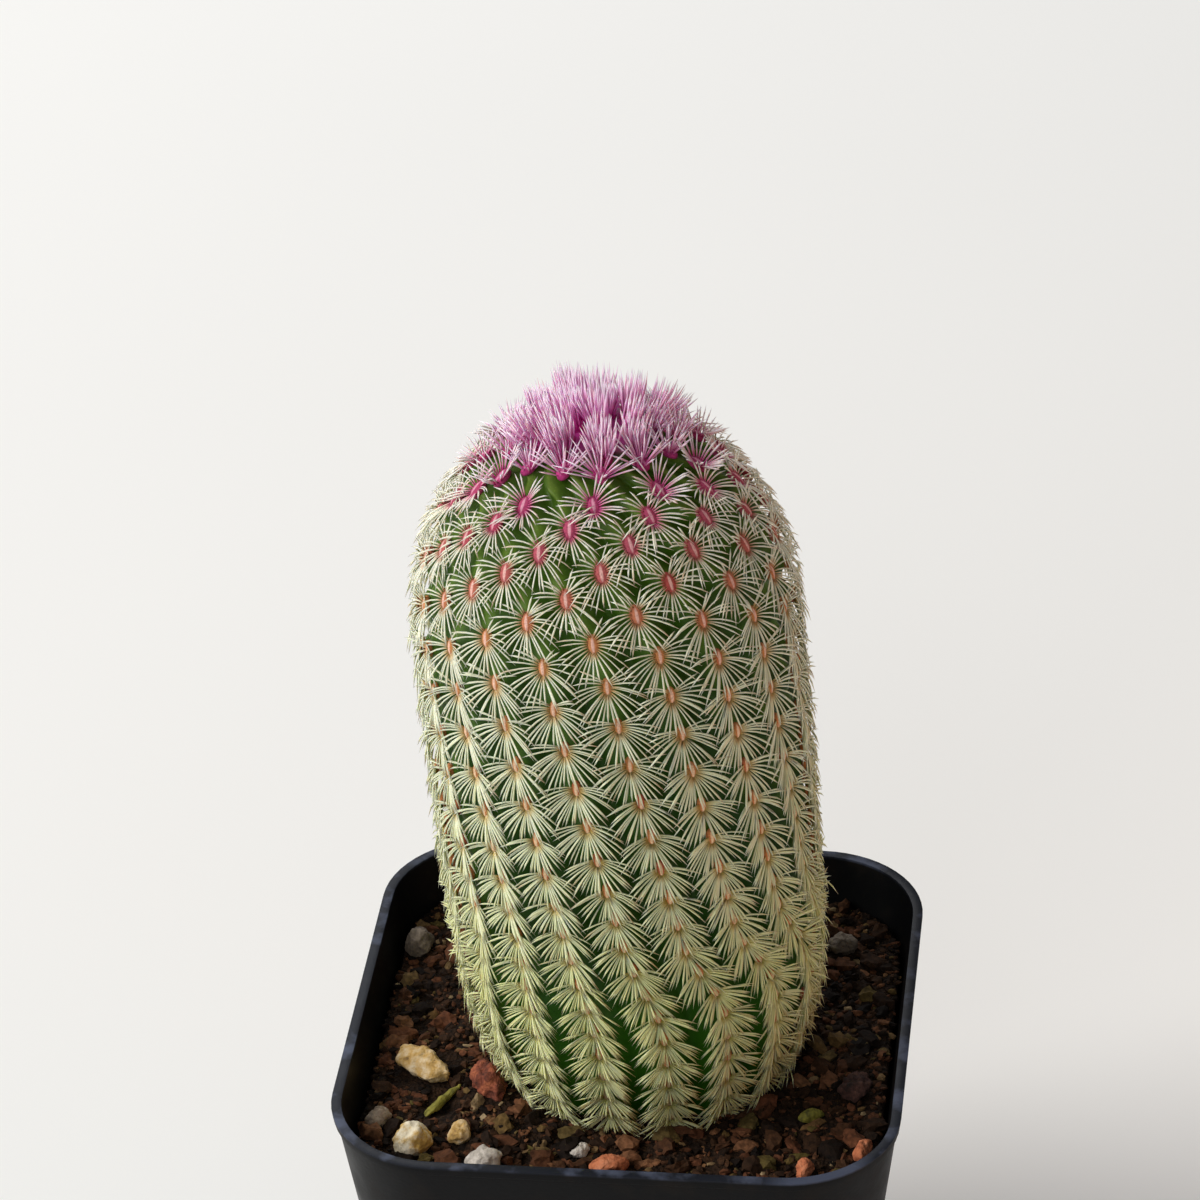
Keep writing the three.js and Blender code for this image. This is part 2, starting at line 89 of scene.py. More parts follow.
def linear(hex_colour: str) -> tuple[float, float, float, float]:
    """Turns an sRGB hex value into linear colour.

    Args:
        hex_colour: Six hex digits after a number sign.

    Returns:
        Linear red, green and blue, with an alpha of one.
    """
    parts = [int(hex_colour[i : i + 2], 16) / 255 for i in (1, 3, 5)]
    red, green, blue = (v / 12.92 if v <= 0.04045 else ((v + 0.055) / 1.055) ** 2.4 for v in parts)
    return red, green, blue, 1.0


def add_node(
    tree: bpy.types.NodeTree, kind: str, inputs: dict | None = None, stops: Stops = (), out: int | str = 0,
    **settings: object,
) -> Socket:
    """Adds a shader node with its settings and links.

    Args:
        tree: The material's node tree.
        kind: The node's type, without its ShaderNode.
        inputs: What goes into its sockets, by name or index: a socket to link, or a value.
        stops: Positions and hex colours, where the node is a colour ramp.
        out: The output that is wanted.
        settings: The node's own properties.

    Returns:
        The wanted output.
    """
    node = tree.nodes.new("ShaderNode" + kind)
    for name, value in settings.items():
        setattr(node, name, value)
    for name, value in (inputs or {}).items():
        if isinstance(value, Socket):
            tree.links.new(value, node.inputs[name])
        else:
            node.inputs[name].default_value = value
    for _ in stops[2:]:
        node.color_ramp.elements.new(1.0)
    for place, (position, colour) in enumerate(stops):
        node.color_ramp.elements[place].position = position
        node.color_ramp.elements[place].color = linear(colour)
    return node.outputs[out]


def sized(place: Socket, size: float, **more: float) -> dict:
    """The inputs of a pattern with features of that many millimetres, at a place in Object coordinates."""
    return {"Vector": place, "Scale": 1 / (size * MM), **more}


def smoothstep(low: float, high: float, value: Array | float) -> Array | float:
    """Eases a value from 0 at low to 1 at high."""
    share = np.clip((value - low) / (high - low), 0, 1)
    return share * share * (3 - 2 * share)


def unit(vectors: Array) -> Array:
    """The same directions at length one."""
    return vectors / np.linalg.norm(vectors, axis=-1, keepdims=True)


def select_only(piece: Piece) -> None:
    """Makes a piece the active one and the only one selected.

    Args:
        piece: The object.
    """
    bpy.ops.object.select_all(action="DESELECT")
    bpy.context.view_layer.objects.active = piece
    piece.select_set(True)


@contextmanager
def edit_mode(piece: Piece) -> Iterator[None]:
    """Opens one piece in edit mode, with all of it selected.

    Args:
        piece: The mesh object.
    """
    select_only(piece)
    bpy.ops.object.mode_set(mode="EDIT")
    bpy.ops.mesh.select_all(action="SELECT")
    yield
    bpy.ops.object.mode_set(mode="OBJECT")


def pick(piece: Piece, kind: Element, wanted: Callable[..., bool]) -> None:
    """Selects elements in edit mode by their place or normal.

    Args:
        piece: The object in edit mode.
        kind: Vertices, edges or faces.
        wanted: Whether an element is selected.
    """
    mode, elements = kind.value
    bpy.ops.mesh.select_mode(type=mode)
    bpy.ops.mesh.select_all(action="DESELECT")
    mesh = bmesh.from_edit_mesh(piece.data)
    for element in getattr(mesh, elements):
        element.select_set(wanted(element))
    mesh.select_flush_mode()
    bmesh.update_edit_mesh(piece.data)


def scale_picked(across: float, upright: float = 1) -> None:
    """Scales what is selected, sideways and upwards, about its middle."""
    bpy.ops.transform.resize(value=(across, across, upright))


def raise_picked(rise: float) -> None:
    """Extrudes what is selected upwards, by millimetres."""
    bpy.ops.mesh.extrude_region_move(TRANSFORM_OT_translate={"value": (0, 0, rise * MM)})


def cut_level(height: float) -> None:
    """Cuts a level ring of edges into the whole piece, at a height in metres."""
    bpy.ops.mesh.select_all(action="SELECT")
    bpy.ops.mesh.bisect(plane_co=(0, 0, height), plane_no=(0, 0, 1))


def new_piece(name: str, primitive: Callable[..., set], **settings: object) -> Piece:
    """Adds a primitive as the start of a piece, with its place in its mesh.

    Args:
        name: The piece's name.
        primitive: The operator that adds it.
        settings: What the operator is given, in metres.

    Returns:
        The new object, at the origin.
    """
    bpy.ops.object.select_all(action="DESELECT")
    primitive(**settings)
    piece = bpy.context.object
    piece.name = piece.data.name = name
    bpy.ops.object.transform_apply(location=True, rotation=True, scale=True)
    return piece


def tapered_block(name: str, levels: Pair, sides: Pair, corner: float, steps: int) -> Piece:
    """Models a square block with rounded upright edges and a smaller foot.

    Args:
        name: The piece's name.
        levels: The heights of its foot and top.
        sides: Its sides there.
        corner: The radius of its edges.
        steps: How many faces round an edge.

    Returns:
        The closed block.
    """
    (low, high), (foot, side) = levels, sides
    scale, middle = (side * MM, side * MM, (high - low) * MM), (0, 0, (high + low) / 2 * MM)
    block = new_piece(name, bpy.ops.mesh.primitive_cube_add, size=1, scale=scale, location=middle)
    with edit_mode(block):
        pick(block, Element.EDGE, lambda edge: abs(edge.verts[0].co.z - edge.verts[1].co.z) > MM)
        bpy.ops.mesh.bevel(offset=corner * MM, segments=steps, affect="EDGES")
        pick(block, Element.FACE, lambda face: face.normal.z < -0.9)
        scale_picked(foot / side)
    return block


def finish_with(piece: Piece, kind: str, **settings: object) -> None:
    """Gives a piece a modifier and applies it.

    Args:
        piece: The mesh object.
        kind: The modifier's type.
        settings: Its properties.
    """
    select_only(piece)
    modifier = piece.modifiers.new(kind.title(), kind)
    for name, value in settings.items():
        setattr(modifier, name, value)
    bpy.ops.object.modifier_apply(modifier=modifier.name)


def cut_out(piece: Piece, tool: Piece) -> None:
    """Cuts a closed shape out of a piece and removes the shape."""
    finish_with(piece, "BOOLEAN", operation="DIFFERENCE", object=tool, solver="EXACT")
    bpy.data.meshes.remove(tool.data)


def roughen(piece: Piece, size: float, rise: float, level: float, **settings: object) -> None:
    """Raises and sinks a piece's surface in lumps.

    Args:
        piece: The mesh object.
        size: How wide the lumps are, in millimetres.
        rise: How high they are, in millimetres.
        level: The share of the pattern that is left where it was.
        settings: The modifier's other properties.
    """
    lumps = bpy.data.textures.new("lumps", "CLOUDS")
    lumps.noise_scale = size * MM
    lumps.noise_depth = 3
    places = {"texture": lumps, "texture_coords": "LOCAL"}
    finish_with(piece, "DISPLACE", **places, strength=rise * MM, mid_level=level, **settings)


def points_of(piece: Piece) -> Array:
    """Reads a piece's vertices.

    Args:
        piece: The mesh object.

    Returns:
        A row for each, in millimetres.
    """
    flat = np.empty(3 * len(piece.data.vertices))
    piece.data.vertices.foreach_get("co", flat)
    return flat.reshape(-1, 3) / MM


def note(piece: Piece, shape: tuple[int, ...], **values: Array) -> None:
    """Keeps numbers for each vertex, for the piece's material to read.

    Args:
        piece: The mesh object.
        shape: How its vertices are laid out, such as copies by points.
        values: Numbers that fit the shape, by their attribute's name.
    """
    for name, numbers in values.items():
        attribute = piece.data.attributes.new(name, "FLOAT", "POINT")
        attribute.data.foreach_set("value", np.broadcast_to(numbers, shape).astype(np.float32).ravel())


@dataclass(frozen=True)
class Pattern:
    """A small shape that is modelled once and copied: its points and the triangles between them."""

    points: Array
    triangles: Array

    @classmethod
    def taken_from(cls, piece: Piece) -> "Pattern":
        """Reads a modelled piece as triangles and removes it.

        Args:
            piece: The modelled shape, in units of its own.

        Returns:
            The pattern.
        """
        with edit_mode(piece):
            bpy.ops.mesh.quads_convert_to_tris()
        triangles = np.array([tuple(face.vertices) for face in piece.data.polygons])
        pattern = cls(points_of(piece) * MM, triangles)
        bpy.data.meshes.remove(piece.data)
        return pattern

    def copies(self, name: str, points: Array) -> Piece:
        """Joins copies of the pattern in one piece, each with its own points.

        Args:
            name: The piece's name.
            points: The places of every copy's points, copy by copy, in millimetres.

        Returns:
            The new piece, shaded smooth.
        """
        count, size, _ = points.shape
        triangles = (self.triangles[None] + size * np.arange(count)[:, None, None]).astype(np.int32)
        mesh = bpy.data.meshes.new(name)
        mesh.vertices.add(count * size)
        mesh.loops.add(triangles.size)
        mesh.polygons.add(triangles.size // 3)
        mesh.vertices.foreach_set("co", (points * MM).astype(np.float32).ravel())
        mesh.loops.foreach_set("vertex_index", triangles.ravel())
        mesh.polygons.foreach_set("loop_start", np.arange(0, triangles.size, 3, dtype=np.int32))
        mesh.update(calc_edges=True)
        mesh.shade_smooth()
        piece = bpy.data.objects.new(name, mesh)
        bpy.context.collection.objects.link(piece)
        return piece


# ---------------------------------------------------------------- finishes


@dataclass(frozen=True)
class Look:
    """What a finish gives its shader: colour, roughness where it varies, and relief, deep in millimetres."""

    colour: Socket
    height: Socket | None = None
    strength: float = 0.0
    depth: float = 0.0
    roughness: Socket | None = None


@dataclass(frozen=True)
class Finish:
    """What every finish shares: its name, the record's slot and how light leaves it."""

    name: str
    slot: str
    roughness: float
    ior: float = 1.5
    specular: float = 0.5
    clearness: float = 0.0
    clear_depth: float = 0.3

    def material(self) -> bpy.types.Material:
        """Makes the material, or finds it where it was made before.

        Returns:
            The material.
        """
        made = bpy.data.materials.get(self.name)
        if made is not None:
            return made
        made = bpy.data.materials.new(self.name)
        made.use_nodes = True
        tree = made.node_tree
        shader = tree.nodes["Principled BSDF"]
        constants = {
            "Roughness": self.roughness,
            "IOR": self.ior,
            "Specular IOR Level": self.specular,
            "Subsurface Weight": self.clearness,
            "Subsurface Radius": (1.0, 0.85, 0.7),
            "Subsurface Scale": self.clear_depth * MM,
        }
        for name, value in constants.items():
            shader.inputs[name].default_value = value
        look = self.dress(partial(add_node, tree))
        tree.links.new(look.colour, shader.inputs["Base Color"])
        if look.roughness:
            tree.links.new(look.roughness, shader.inputs["Roughness"])
        if look.height:
            relief = {"Height": look.height, "Strength": look.strength, "Distance": look.depth * MM}
            tree.links.new(add_node(tree, "Bump", relief), shader.inputs["Normal"])
        return made

    def dress(self, add: Adder) -> Look:
        """Makes the finish's own colour and relief, from nodes that add gives."""
        raise NotImplementedError

    def put_on(self, piece: Piece) -> None:
        """Gives a piece this finish and its body.

        Args:
            piece: The finished mesh.
        """
        piece.data.materials.clear()
        piece.data.materials.append(self.material())
        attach(piece, "root")


def shaded(add: Adder, colour: Socket, pattern: dict) -> Socket:
    """Darkens and lightens a colour by a pattern.

    Args:
        add: Adds a node.
        colour: The colour.
        pattern: What varies, its two ends and what they multiply the colour by.

    Returns:
        The shaded colour.
    """
    inputs = {MIX_SHARE: 1.0, MIX_A: colour, MIX_B: add("MapRange", pattern)}
    return add("Mix", inputs, **COLOUR_MIX, blend_type="MULTIPLY")


@dataclass(frozen=True)
class MouldedPolypropylene(Finish):
    """Black polypropylene, injection moulded: even and satin, with dust, and a paler blue-grey edge at the lip
    that is partly scuffs and partly a painted highlight, with a painted reflection at its front right corner.
    """

    name: str = "moulded_polypropylene"
    slot: str = "pot_plastic"
    roughness: float = 0.36
    specular: float = 0.1
    base: str = "#0a0b0d"
    dust: str = "#33291f"
    # The blue-grey of the lip's edge: partly scuffs, partly a painted highlight.
    scuff_and_highlight: str = "#5f6880"
    grain: float = 0.5
    dust_patch: float = 5.0
    dust_drop: float = 14.0
    rim_height: float = 65.0
    # How far below the rim the scuffs and painted highlight reach.
    scuff_and_highlight_drop: float = 0.4
    # A painted reflection on the lip's edge at the front right corner, with some rubbing, and how far it fades.
    rubbed_and_reflection: Triple = (26.5, -34.0, 65.0)
    rubbed_and_reflection_reach: Pair = (4.0, 8.5)

    def dress(self, add: Adder) -> Look:
        """Lays dust below the lip, scuffs and a painted highlight on its edge with a painted reflection at the
        front right corner, and a moulded grain all over.

        Args:
            add: Adds a node.

        Returns:
            The look.
        """
        place = add("TexCoord", out="Object")
        height = add("SeparateXYZ", {"Vector": place}, out="Z")
        patches = add("TexNoise", sized(place, self.dust_patch, Detail=6.0), out="Fac")
        rim = self.rim_height * MM
        low = add("MapRange", {"Value": height, 1: (self.rim_height - self.dust_drop) * MM, 2: rim}, **EASED)
        thick = add("MapRange", {"Value": patches, 1: 0.5, 2: 0.8, 4: 0.3})
        dusty = add("Math", {0: low, 1: thick}, operation="MULTIPLY")
        base, dust, scuff_and_highlight = map(linear, (self.base, self.dust, self.scuff_and_highlight))
        dusted = add("Mix", {MIX_SHARE: dusty, MIX_A: base, MIX_B: dust}, **COLOUR_MIX)
        # Painted highlight along the rim: its top 0.4 mm takes the blue-grey edge colour in patches, which are
        # partly scuffs; near the front right corner it is laid on as a painted reflection.
        edge = add("MapRange", {"Value": height, 1: (self.rim_height - self.scuff_and_highlight_drop) * MM, 2: rim, 4: 0.6})
        worn = add("MapRange", {"Value": patches, 1: 0.5, 2: 0.64, 3: 0.15})
        # The painted reflection at the front right corner, strongest nearest the spot.
        spot = tuple(v * MM for v in self.rubbed_and_reflection)
        off = add("VectorMath", {0: place, 1: spot}, out="Value", operation="DISTANCE")
        near, far = (reach * MM for reach in self.rubbed_and_reflection_reach)
        rubbed_and_reflection = add("MapRange", {"Value": off, 1: near, 2: far, 3: 0.9, 4: 0.0})
        worn = add("Math", {0: worn, 1: rubbed_and_reflection}, operation="MAXIMUM")
        edge = add("Math", {0: edge, 1: worn}, operation="MULTIPLY")
        scuffed_and_highlit = add("Mix", {MIX_SHARE: edge, MIX_A: dusted, MIX_B: scuff_and_highlight}, **COLOUR_MIX)
        rough = add("MapRange", {"Value": patches, 3: self.roughness - 0.06, 4: 0.62})
        fine = add("TexNoise", sized(place, self.grain, Detail=3.0), out="Fac")
        return Look(scuffed_and_highlit, fine, 0.35, 0.06, rough)


@dataclass(frozen=True)
class DampPeat(Finish):
    """Peat and composted bark, damp: near black, matt, crumbly, with brown fibres."""

    name: str = "damp_peat"
    slot: str = "potting_mix"
    roughness: float = 0.9
    specular: float = 0.15
    stops: Stops = ((0.35, "#0e0906"), (0.55, "#2c1d12"), (0.75, "#543c28"))
    crumb: float = 1.6
    fibre: float = 0.5

    def dress(self, add: Adder) -> Look:
        """Colours the crumbs and raises them.

        Args:
            add: Adds a node.

        Returns:
            The look.
        """
        place = add("TexCoord", out="Object")
        crumbs = add("TexNoise", sized(place, self.crumb, Detail=8.0, Roughness=0.7), out="Fac")
        fibres = add("TexVoronoi", sized(place, self.fibre))
        both = add("Math", {0: crumbs, 1: fibres}, operation="ADD")
        return Look(add("ValToRGB", {"Fac": crumbs}, self.stops), both, 0.9, 0.5)


@dataclass(frozen=True)
class SoilCrumb(Finish):
    """Loose crumbs of the mix: peat, composted bark, fibre, grit and a little moss, each of one colour."""

    name: str = "soil_crumbs"
    slot: str = "potting_mix"
    roughness: float = 0.88
    specular: float = 0.15
    stops: Stops = (
        (0.0, "#100a07"), (0.28, "#24170e"), (0.55, "#402a1a"), (0.78, "#603a26"),
        (0.88, "#785238"), (0.94, "#524822"), (0.98, "#7e6444"), (1.0, "#a08c6c"),
    )
    mottle: float = 0.7

    def dress(self, add: Adder) -> Look:
        """Gives each crumb its own colour by its tone, with a fine mottle.

        Args:
            add: Adds a node.

        Returns:
            The look.
        """
        tone = add("Attribute", out="Fac", attribute_name="tone")
        place = add("TexCoord", out="Object")
        colour = add("ValToRGB", {"Fac": tone}, self.stops)
        mottle = add("TexNoise", sized(place, self.mottle, Detail=5.0), out="Fac")
        return Look(shaded(add, colour, {"Value": mottle, 1: 0.3, 2: 0.7, 3: 0.45, 4: 1.25}), mottle, 0.7, 0.25)


@dataclass(frozen=True)
class LivingSkin(Finish):
    """The stem's green skin under its wax: fresh in the grooves, pale along the crests, with a soft gloss."""

    name: str = "waxy_cactus_skin"
    slot: str = "cactus_skin"
    roughness: float = 0.5
    ior: float = 1.45
    specular: float = 0.25
    groove: Stops = (
        (0.0, "#32700a"), (0.3, "#1e4606"), (0.6, "#24480a"),
        (0.82, "#3c5e10"), (0.925, "#3c5a12"), (0.95, "#a83484"),
    )
    crest: Stops = (
        (0.0, "#5c7a2c"), (0.3, "#44661c"), (0.6, "#4c7222"),
        (0.82, "#66862c"), (0.925, "#5c7428"), (0.95, "#b43c8c"),
    )
    pore: float = 0.35
    mottle: float = 3.0

    def dress(self, add: Adder) -> Look:
        """Colours the skin by its age and by how near it is to a rib's crest.

        Args:
            add: Adds a node.

        Returns:
            The look.
        """
        age, crest = (add("Attribute", out="Fac", attribute_name=name) for name in ("age", "crest"))
        place = add("TexCoord", out="Object")
        low, high = (add("ValToRGB", {"Fac": age}, stops) for stops in (self.groove, self.crest))
        mottle = add("TexNoise", sized(place, self.mottle, Detail=6.0), out="Fac")
        pores = add("TexVoronoi", sized(place, self.pore))
        uneven = add("Math", {0: mottle, 1: 0.5}, operation="SUBTRACT")
        near = add("Math", {0: crest, 1: uneven}, operation="ADD")
        share = add("MapRange", {"Value": near, 1: 0.45, 2: 1.05}, **EASED)
        skin = add("Mix", {MIX_SHARE: share, MIX_A: low, MIX_B: high}, **COLOUR_MIX)
        return Look(shaded(add, skin, {"Value": pores, 1: 0.05, 2: 0.35, 3: 1.3, 4: 0.95}), pores, 0.3, 0.06)


@dataclass(frozen=True)
class AreoleFelt(Finish):
    """Felt of short wool: cream low on the stem, peach above, magenta at the crown, with a pale slit."""

    name: str = "areole_felt"
    slot: str = "cactus_skin"
    roughness: float = 0.95
    ior: float = 1.4
    felt: Stops = (
        (0.0, "#b4905c"), (0.12, "#c07848"), (0.3, "#c87c48"), (0.7, "#c48452"),
        (0.77, "#b46058"), (0.83, "#ac4864"), (0.89, "#b03c74"), (1.0, "#cc3498"),
    )
    slit: Stops = ((0.0, "#c8bc88"), (0.5, "#e6c8a0"), (0.78, "#e4b4ac"), (0.88, "#d890b0"), (1.0, "#c040a0"))
    red: str = "#a02430"
    slit_half: Pair = (0.2, 0.95)
    wool: float = 0.22

    def dress(self, add: Adder) -> Look:
        """Colours the felt by its age, draws its pale slit and raises its wool.

        Args:
            add: Adds a node.

        Returns:
            The look.
        """
        names = ("age", "tone", "across", "along")
        age, tone, across, along = (add("Attribute", out="Fac", attribute_name=name) for name in names)
        place = add("TexCoord", out="Object")
        wool = add("TexNoise", sized(place, self.wool, Detail=4.0), out="Fac")
        felt, pale = (add("ValToRGB", {"Fac": age}, stops) for stops in (self.felt, self.slit))
        redder = add("MapRange", {"Value": tone, 1: 0.78, 2: 1.0, 4: 0.6})
        warm = add("Mix", {MIX_SHARE: redder, MIX_A: felt, MIX_B: linear(self.red)}, **COLOUR_MIX)
        axes = zip((across, along), self.slit_half)
        shares = [add("Math", {0: axis, 1: half}, operation="DIVIDE") for axis, half in axes]
        squares = [add("Math", {0: share, 1: 2.0}, operation="POWER") for share in shares]
        off = add("Math", dict(enumerate(squares)), operation="ADD")
        in_slit = add("MapRange", {"Value": off, 1: 1.5, 2: 0.4, 4: 0.9}, **EASED)
        drawn = add("Mix", {MIX_SHARE: in_slit, MIX_A: warm, MIX_B: pale}, **COLOUR_MIX)
        return Look(shaded(add, drawn, {"Value": wool, 1: 0.3, 2: 0.7, 3: 0.75, 4: 1.2}), wool, 0.8, 0.15)


@dataclass(frozen=True)
class SpineHorn(Finish):
    """Horny spines: ivory and half clear, green-cream low on the stem, pink to magenta at the crown."""

    name: str = "ivory_spines"
    slot: str = "cactus_skin"
    roughness: float = 0.55
    ior: float = 1.54
    specular: float = 0.25
    clearness: float = 0.85
    clear_depth: float = 0.35
    shaft: Stops = (
        (0.0, "#ececa4"), (0.12, "#e6e8a4"), (0.24, "#d0d494"), (0.38, "#d2d8ac"),
        (0.6, "#dfe4c2"), (0.84, "#ece8d0"), (0.9, "#f4d8ee"), (1.0, "#f4c8ec"),
    )
    root: Stops = (
        (0.0, "#a8a848"), (0.3, "#b4a050"), (0.7, "#b48c58"),
        (0.8, "#b4665c"), (0.88, "#cc3c90"), (1.0, "#f42cbc"),
    )
    tip: str = "#9a5a44"

    def dress(self, add: Adder) -> Look:
        """Colours each spine from root to tip by its age, from the base to the crown.

        Args:
            add: Adds a node.

        Returns:
            The look.
        """
        names = ("age", "tone", "along")
        age, tone, along = (add("Attribute", out="Fac", attribute_name=name) for name in names)
        shaft, root = (add("ValToRGB", {"Fac": age}, stops) for stops in (self.shaft, self.root))
        reach = add("MapRange", {"Value": age, 1: 0.82, 2: 0.94, 3: 0.3, 4: 0.92})
        near_root = add("MapRange", {"Value": along, 1: 0.06, 2: reach, 3: 1.0, 4: 0.0})
        shade = add("Mix", {MIX_SHARE: near_root, MIX_A: shaft, MIX_B: root}, **COLOUR_MIX)
        some = add("MapRange", {"Value": tone, 1: 0.82, 2: 0.95, 4: 0.7})
        end = add("MapRange", {"Value": along, 1: 0.45, 2: 0.95})
        browned = add("Math", {0: some, 1: end}, operation="MULTIPLY")
        return Look(add("Mix", {MIX_SHARE: browned, MIX_A: shade, MIX_B: linear(self.tip)}, **COLOUR_MIX))


@dataclass(frozen=True)
class RoughStone(Finish):
    """Broken or worn grit: matt, pitted and unevenly coloured, with dirt in its hollows."""

    roughness: float = 0.9
    stops: Stops = ((0.25, "#5c4428"), (0.44, "#b89454"), (0.6, "#ccb48c"), (0.8, "#e6dac0"))
    grain: float = 1.4
    pit: float = 0.5
    relief: float = 0.3

    def dress(self, add: Adder) -> Look:
        """Colours the stone by its grain and pits it.

        Args:
            add: Adds a node.

        Returns:
            The look.
        """
        place = add("TexCoord", out="Object")
        grain = add("TexNoise", sized(place, self.grain, Detail=7.0, Roughness=0.65), out="Fac")
        pits = add("TexNoise", sized(place, self.pit, Detail=5.0), out="Fac")
        both = add("Math", {0: grain, 1: pits}, operation="ADD")
        return Look(add("ValToRGB", {"Fac": grain}, self.stops), both, 0.8, self.relief)


@dataclass(frozen=True)
class FloorPaint(Finish):
    """Matt pale paint with a faint unevenness, on the floor round the pot."""

    name: str = "painted_floor"
    slot: str = ""
    roughness: float = 0.85
    stops: Stops = ((0.3, "#eff0ef"), (0.7, "#f2f3f2"))
    patch: float = 1000 / 3

    def dress(self, add: Adder) -> Look:
        """Clouds the paint."""
        cloud = add("TexNoise", sized(add("TexCoord", out="Object"), self.patch), out="Fac")
        return Look(add("ValToRGB", {"Fac": cloud}, self.stops))


# ---------------------------------------------------------------- pot


@dataclass
class PlantPot:
    """The thin tapered square cup with its lip, foot and drain holes."""

    height: float = 65.0
    rim_side: float = 70.0
    rim_corner: float = 14.0
    foot_side: float = 52.0
    wall: float = 1.1
    lip_out: float = 0.3
    lip_height: float = 1.2
    foot_width: float = 3.0
    floor_recess: float = 1.6
    floor: float = 1.4
    drain_radius: float = 3.0
    drain_spacing: float = 26.0
    corner_steps: int = 14
    edge_round: float = 0.22
    finish: MouldedPolypropylene = field(default_factory=MouldedPolypropylene)

    @property
    def wall_side(self) -> float:
        """The wall's outer side at the rim, inside the lip."""
        return self.rim_side - 2 * self.lip_out

    @property
    def floor_top(self) -> float:
        """The level of the floor inside."""
        return self.floor_recess + self.floor

    def build(self) -> Piece:
        """Models the pot and dresses it.

        Returns:
            The pot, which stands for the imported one.
        """
        sides, corner = (self.foot_side, self.wall_side), self.rim_corner - self.lip_out
        pot = tapered_block("nursery_pot", (0, self.height), sides, corner, self.corner_steps)
        self._add_lip(pot)
        self._hollow(pot)
        self._drill(pot)
        sharp = {"limit_method": "ANGLE", "angle_limit": math.radians(50)}
        finish_with(pot, "BEVEL", width=self.edge_round * MM, segments=2, **sharp)
        with edit_mode(pot):
            bpy.ops.mesh.remove_doubles(threshold=0.004 * MM)
            bpy.ops.mesh.normals_make_consistent(inside=False)
        bpy.ops.object.shade_smooth_by_angle(angle=math.radians(35))
        self.finish.put_on(pot)
        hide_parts("pot")
        return pot

    def _add_lip(self, pot: Piece) -> None:
        """Widens the wall a little under the rim.

        Args:
            pot: The closed block.
        """
        lip_foot = self.height - self.lip_height
        with edit_mode(pot):
            for cut in (lip_foot - self.lip_out, lip_foot):
                cut_level(cut * MM)
            pick(pot, Element.VERTEX, lambda vertex: vertex.co.z > (lip_foot - 0.01) * MM)
            scale_picked(self.rim_side / self.wall_side)

    def _hollow(self, pot: Piece) -> None:
        """Sinks the inside down to the floor and raises the floor inside the foot.

        Args:
            pot: The block with its lip.
        """
        outside = self.foot_side + (self.rim_side - self.foot_side) * self.floor_top / self.height
        with edit_mode(pot):
            pick(pot, Element.FACE, lambda face: face.normal.z > 0.9)
            bpy.ops.mesh.inset(thickness=(self.wall + self.lip_out / 2) * MM)
            raise_picked(self.floor_top - self.height)
            scale_picked((outside - 2 * self.wall) / (self.rim_side - 2 * self.wall - self.lip_out))
            pick(pot, Element.FACE, lambda face: face.normal.z < -0.9)
            bpy.ops.mesh.inset(thickness=self.foot_width * MM)
            raise_picked(self.floor_recess)

    def _drill(self, pot: Piece) -> None:
        """Cuts the drain holes through the floor.

        Args:
            pot: The cup.
        """
        half, level = self.drain_spacing / 2, self.floor_recess + self.floor / 2
        size = {"vertices": 24, "radius": self.drain_radius * MM, "depth": 4 * self.floor * MM}
        for x, y in [(0, 0), (-half, -half), (-half, half), (half, -half), (half, half)]:
            place = (x * MM, y * MM, level * MM)
            cut_out(pot, new_piece("drill", bpy.ops.mesh.primitive_cylinder_add, location=place, **size))


# ---------------------------------------------------------------- stem


@dataclass(frozen=True)
class Growth:
    """How the stem grew: height, radius, turn of the ribs and areole steps, by arc from the soil to the tip."""

    arc: Array
    height: Array
    radius: Array
    turn: Array
    steps: Array

    def after(self, steps: Array) -> tuple[Array, ...]:
        """Height, radius, turn and arc after a number of areole steps."""
        return tuple(np.interp(steps, self.steps, row) for row in (self.height, self.radius, self.turn, self.arc))


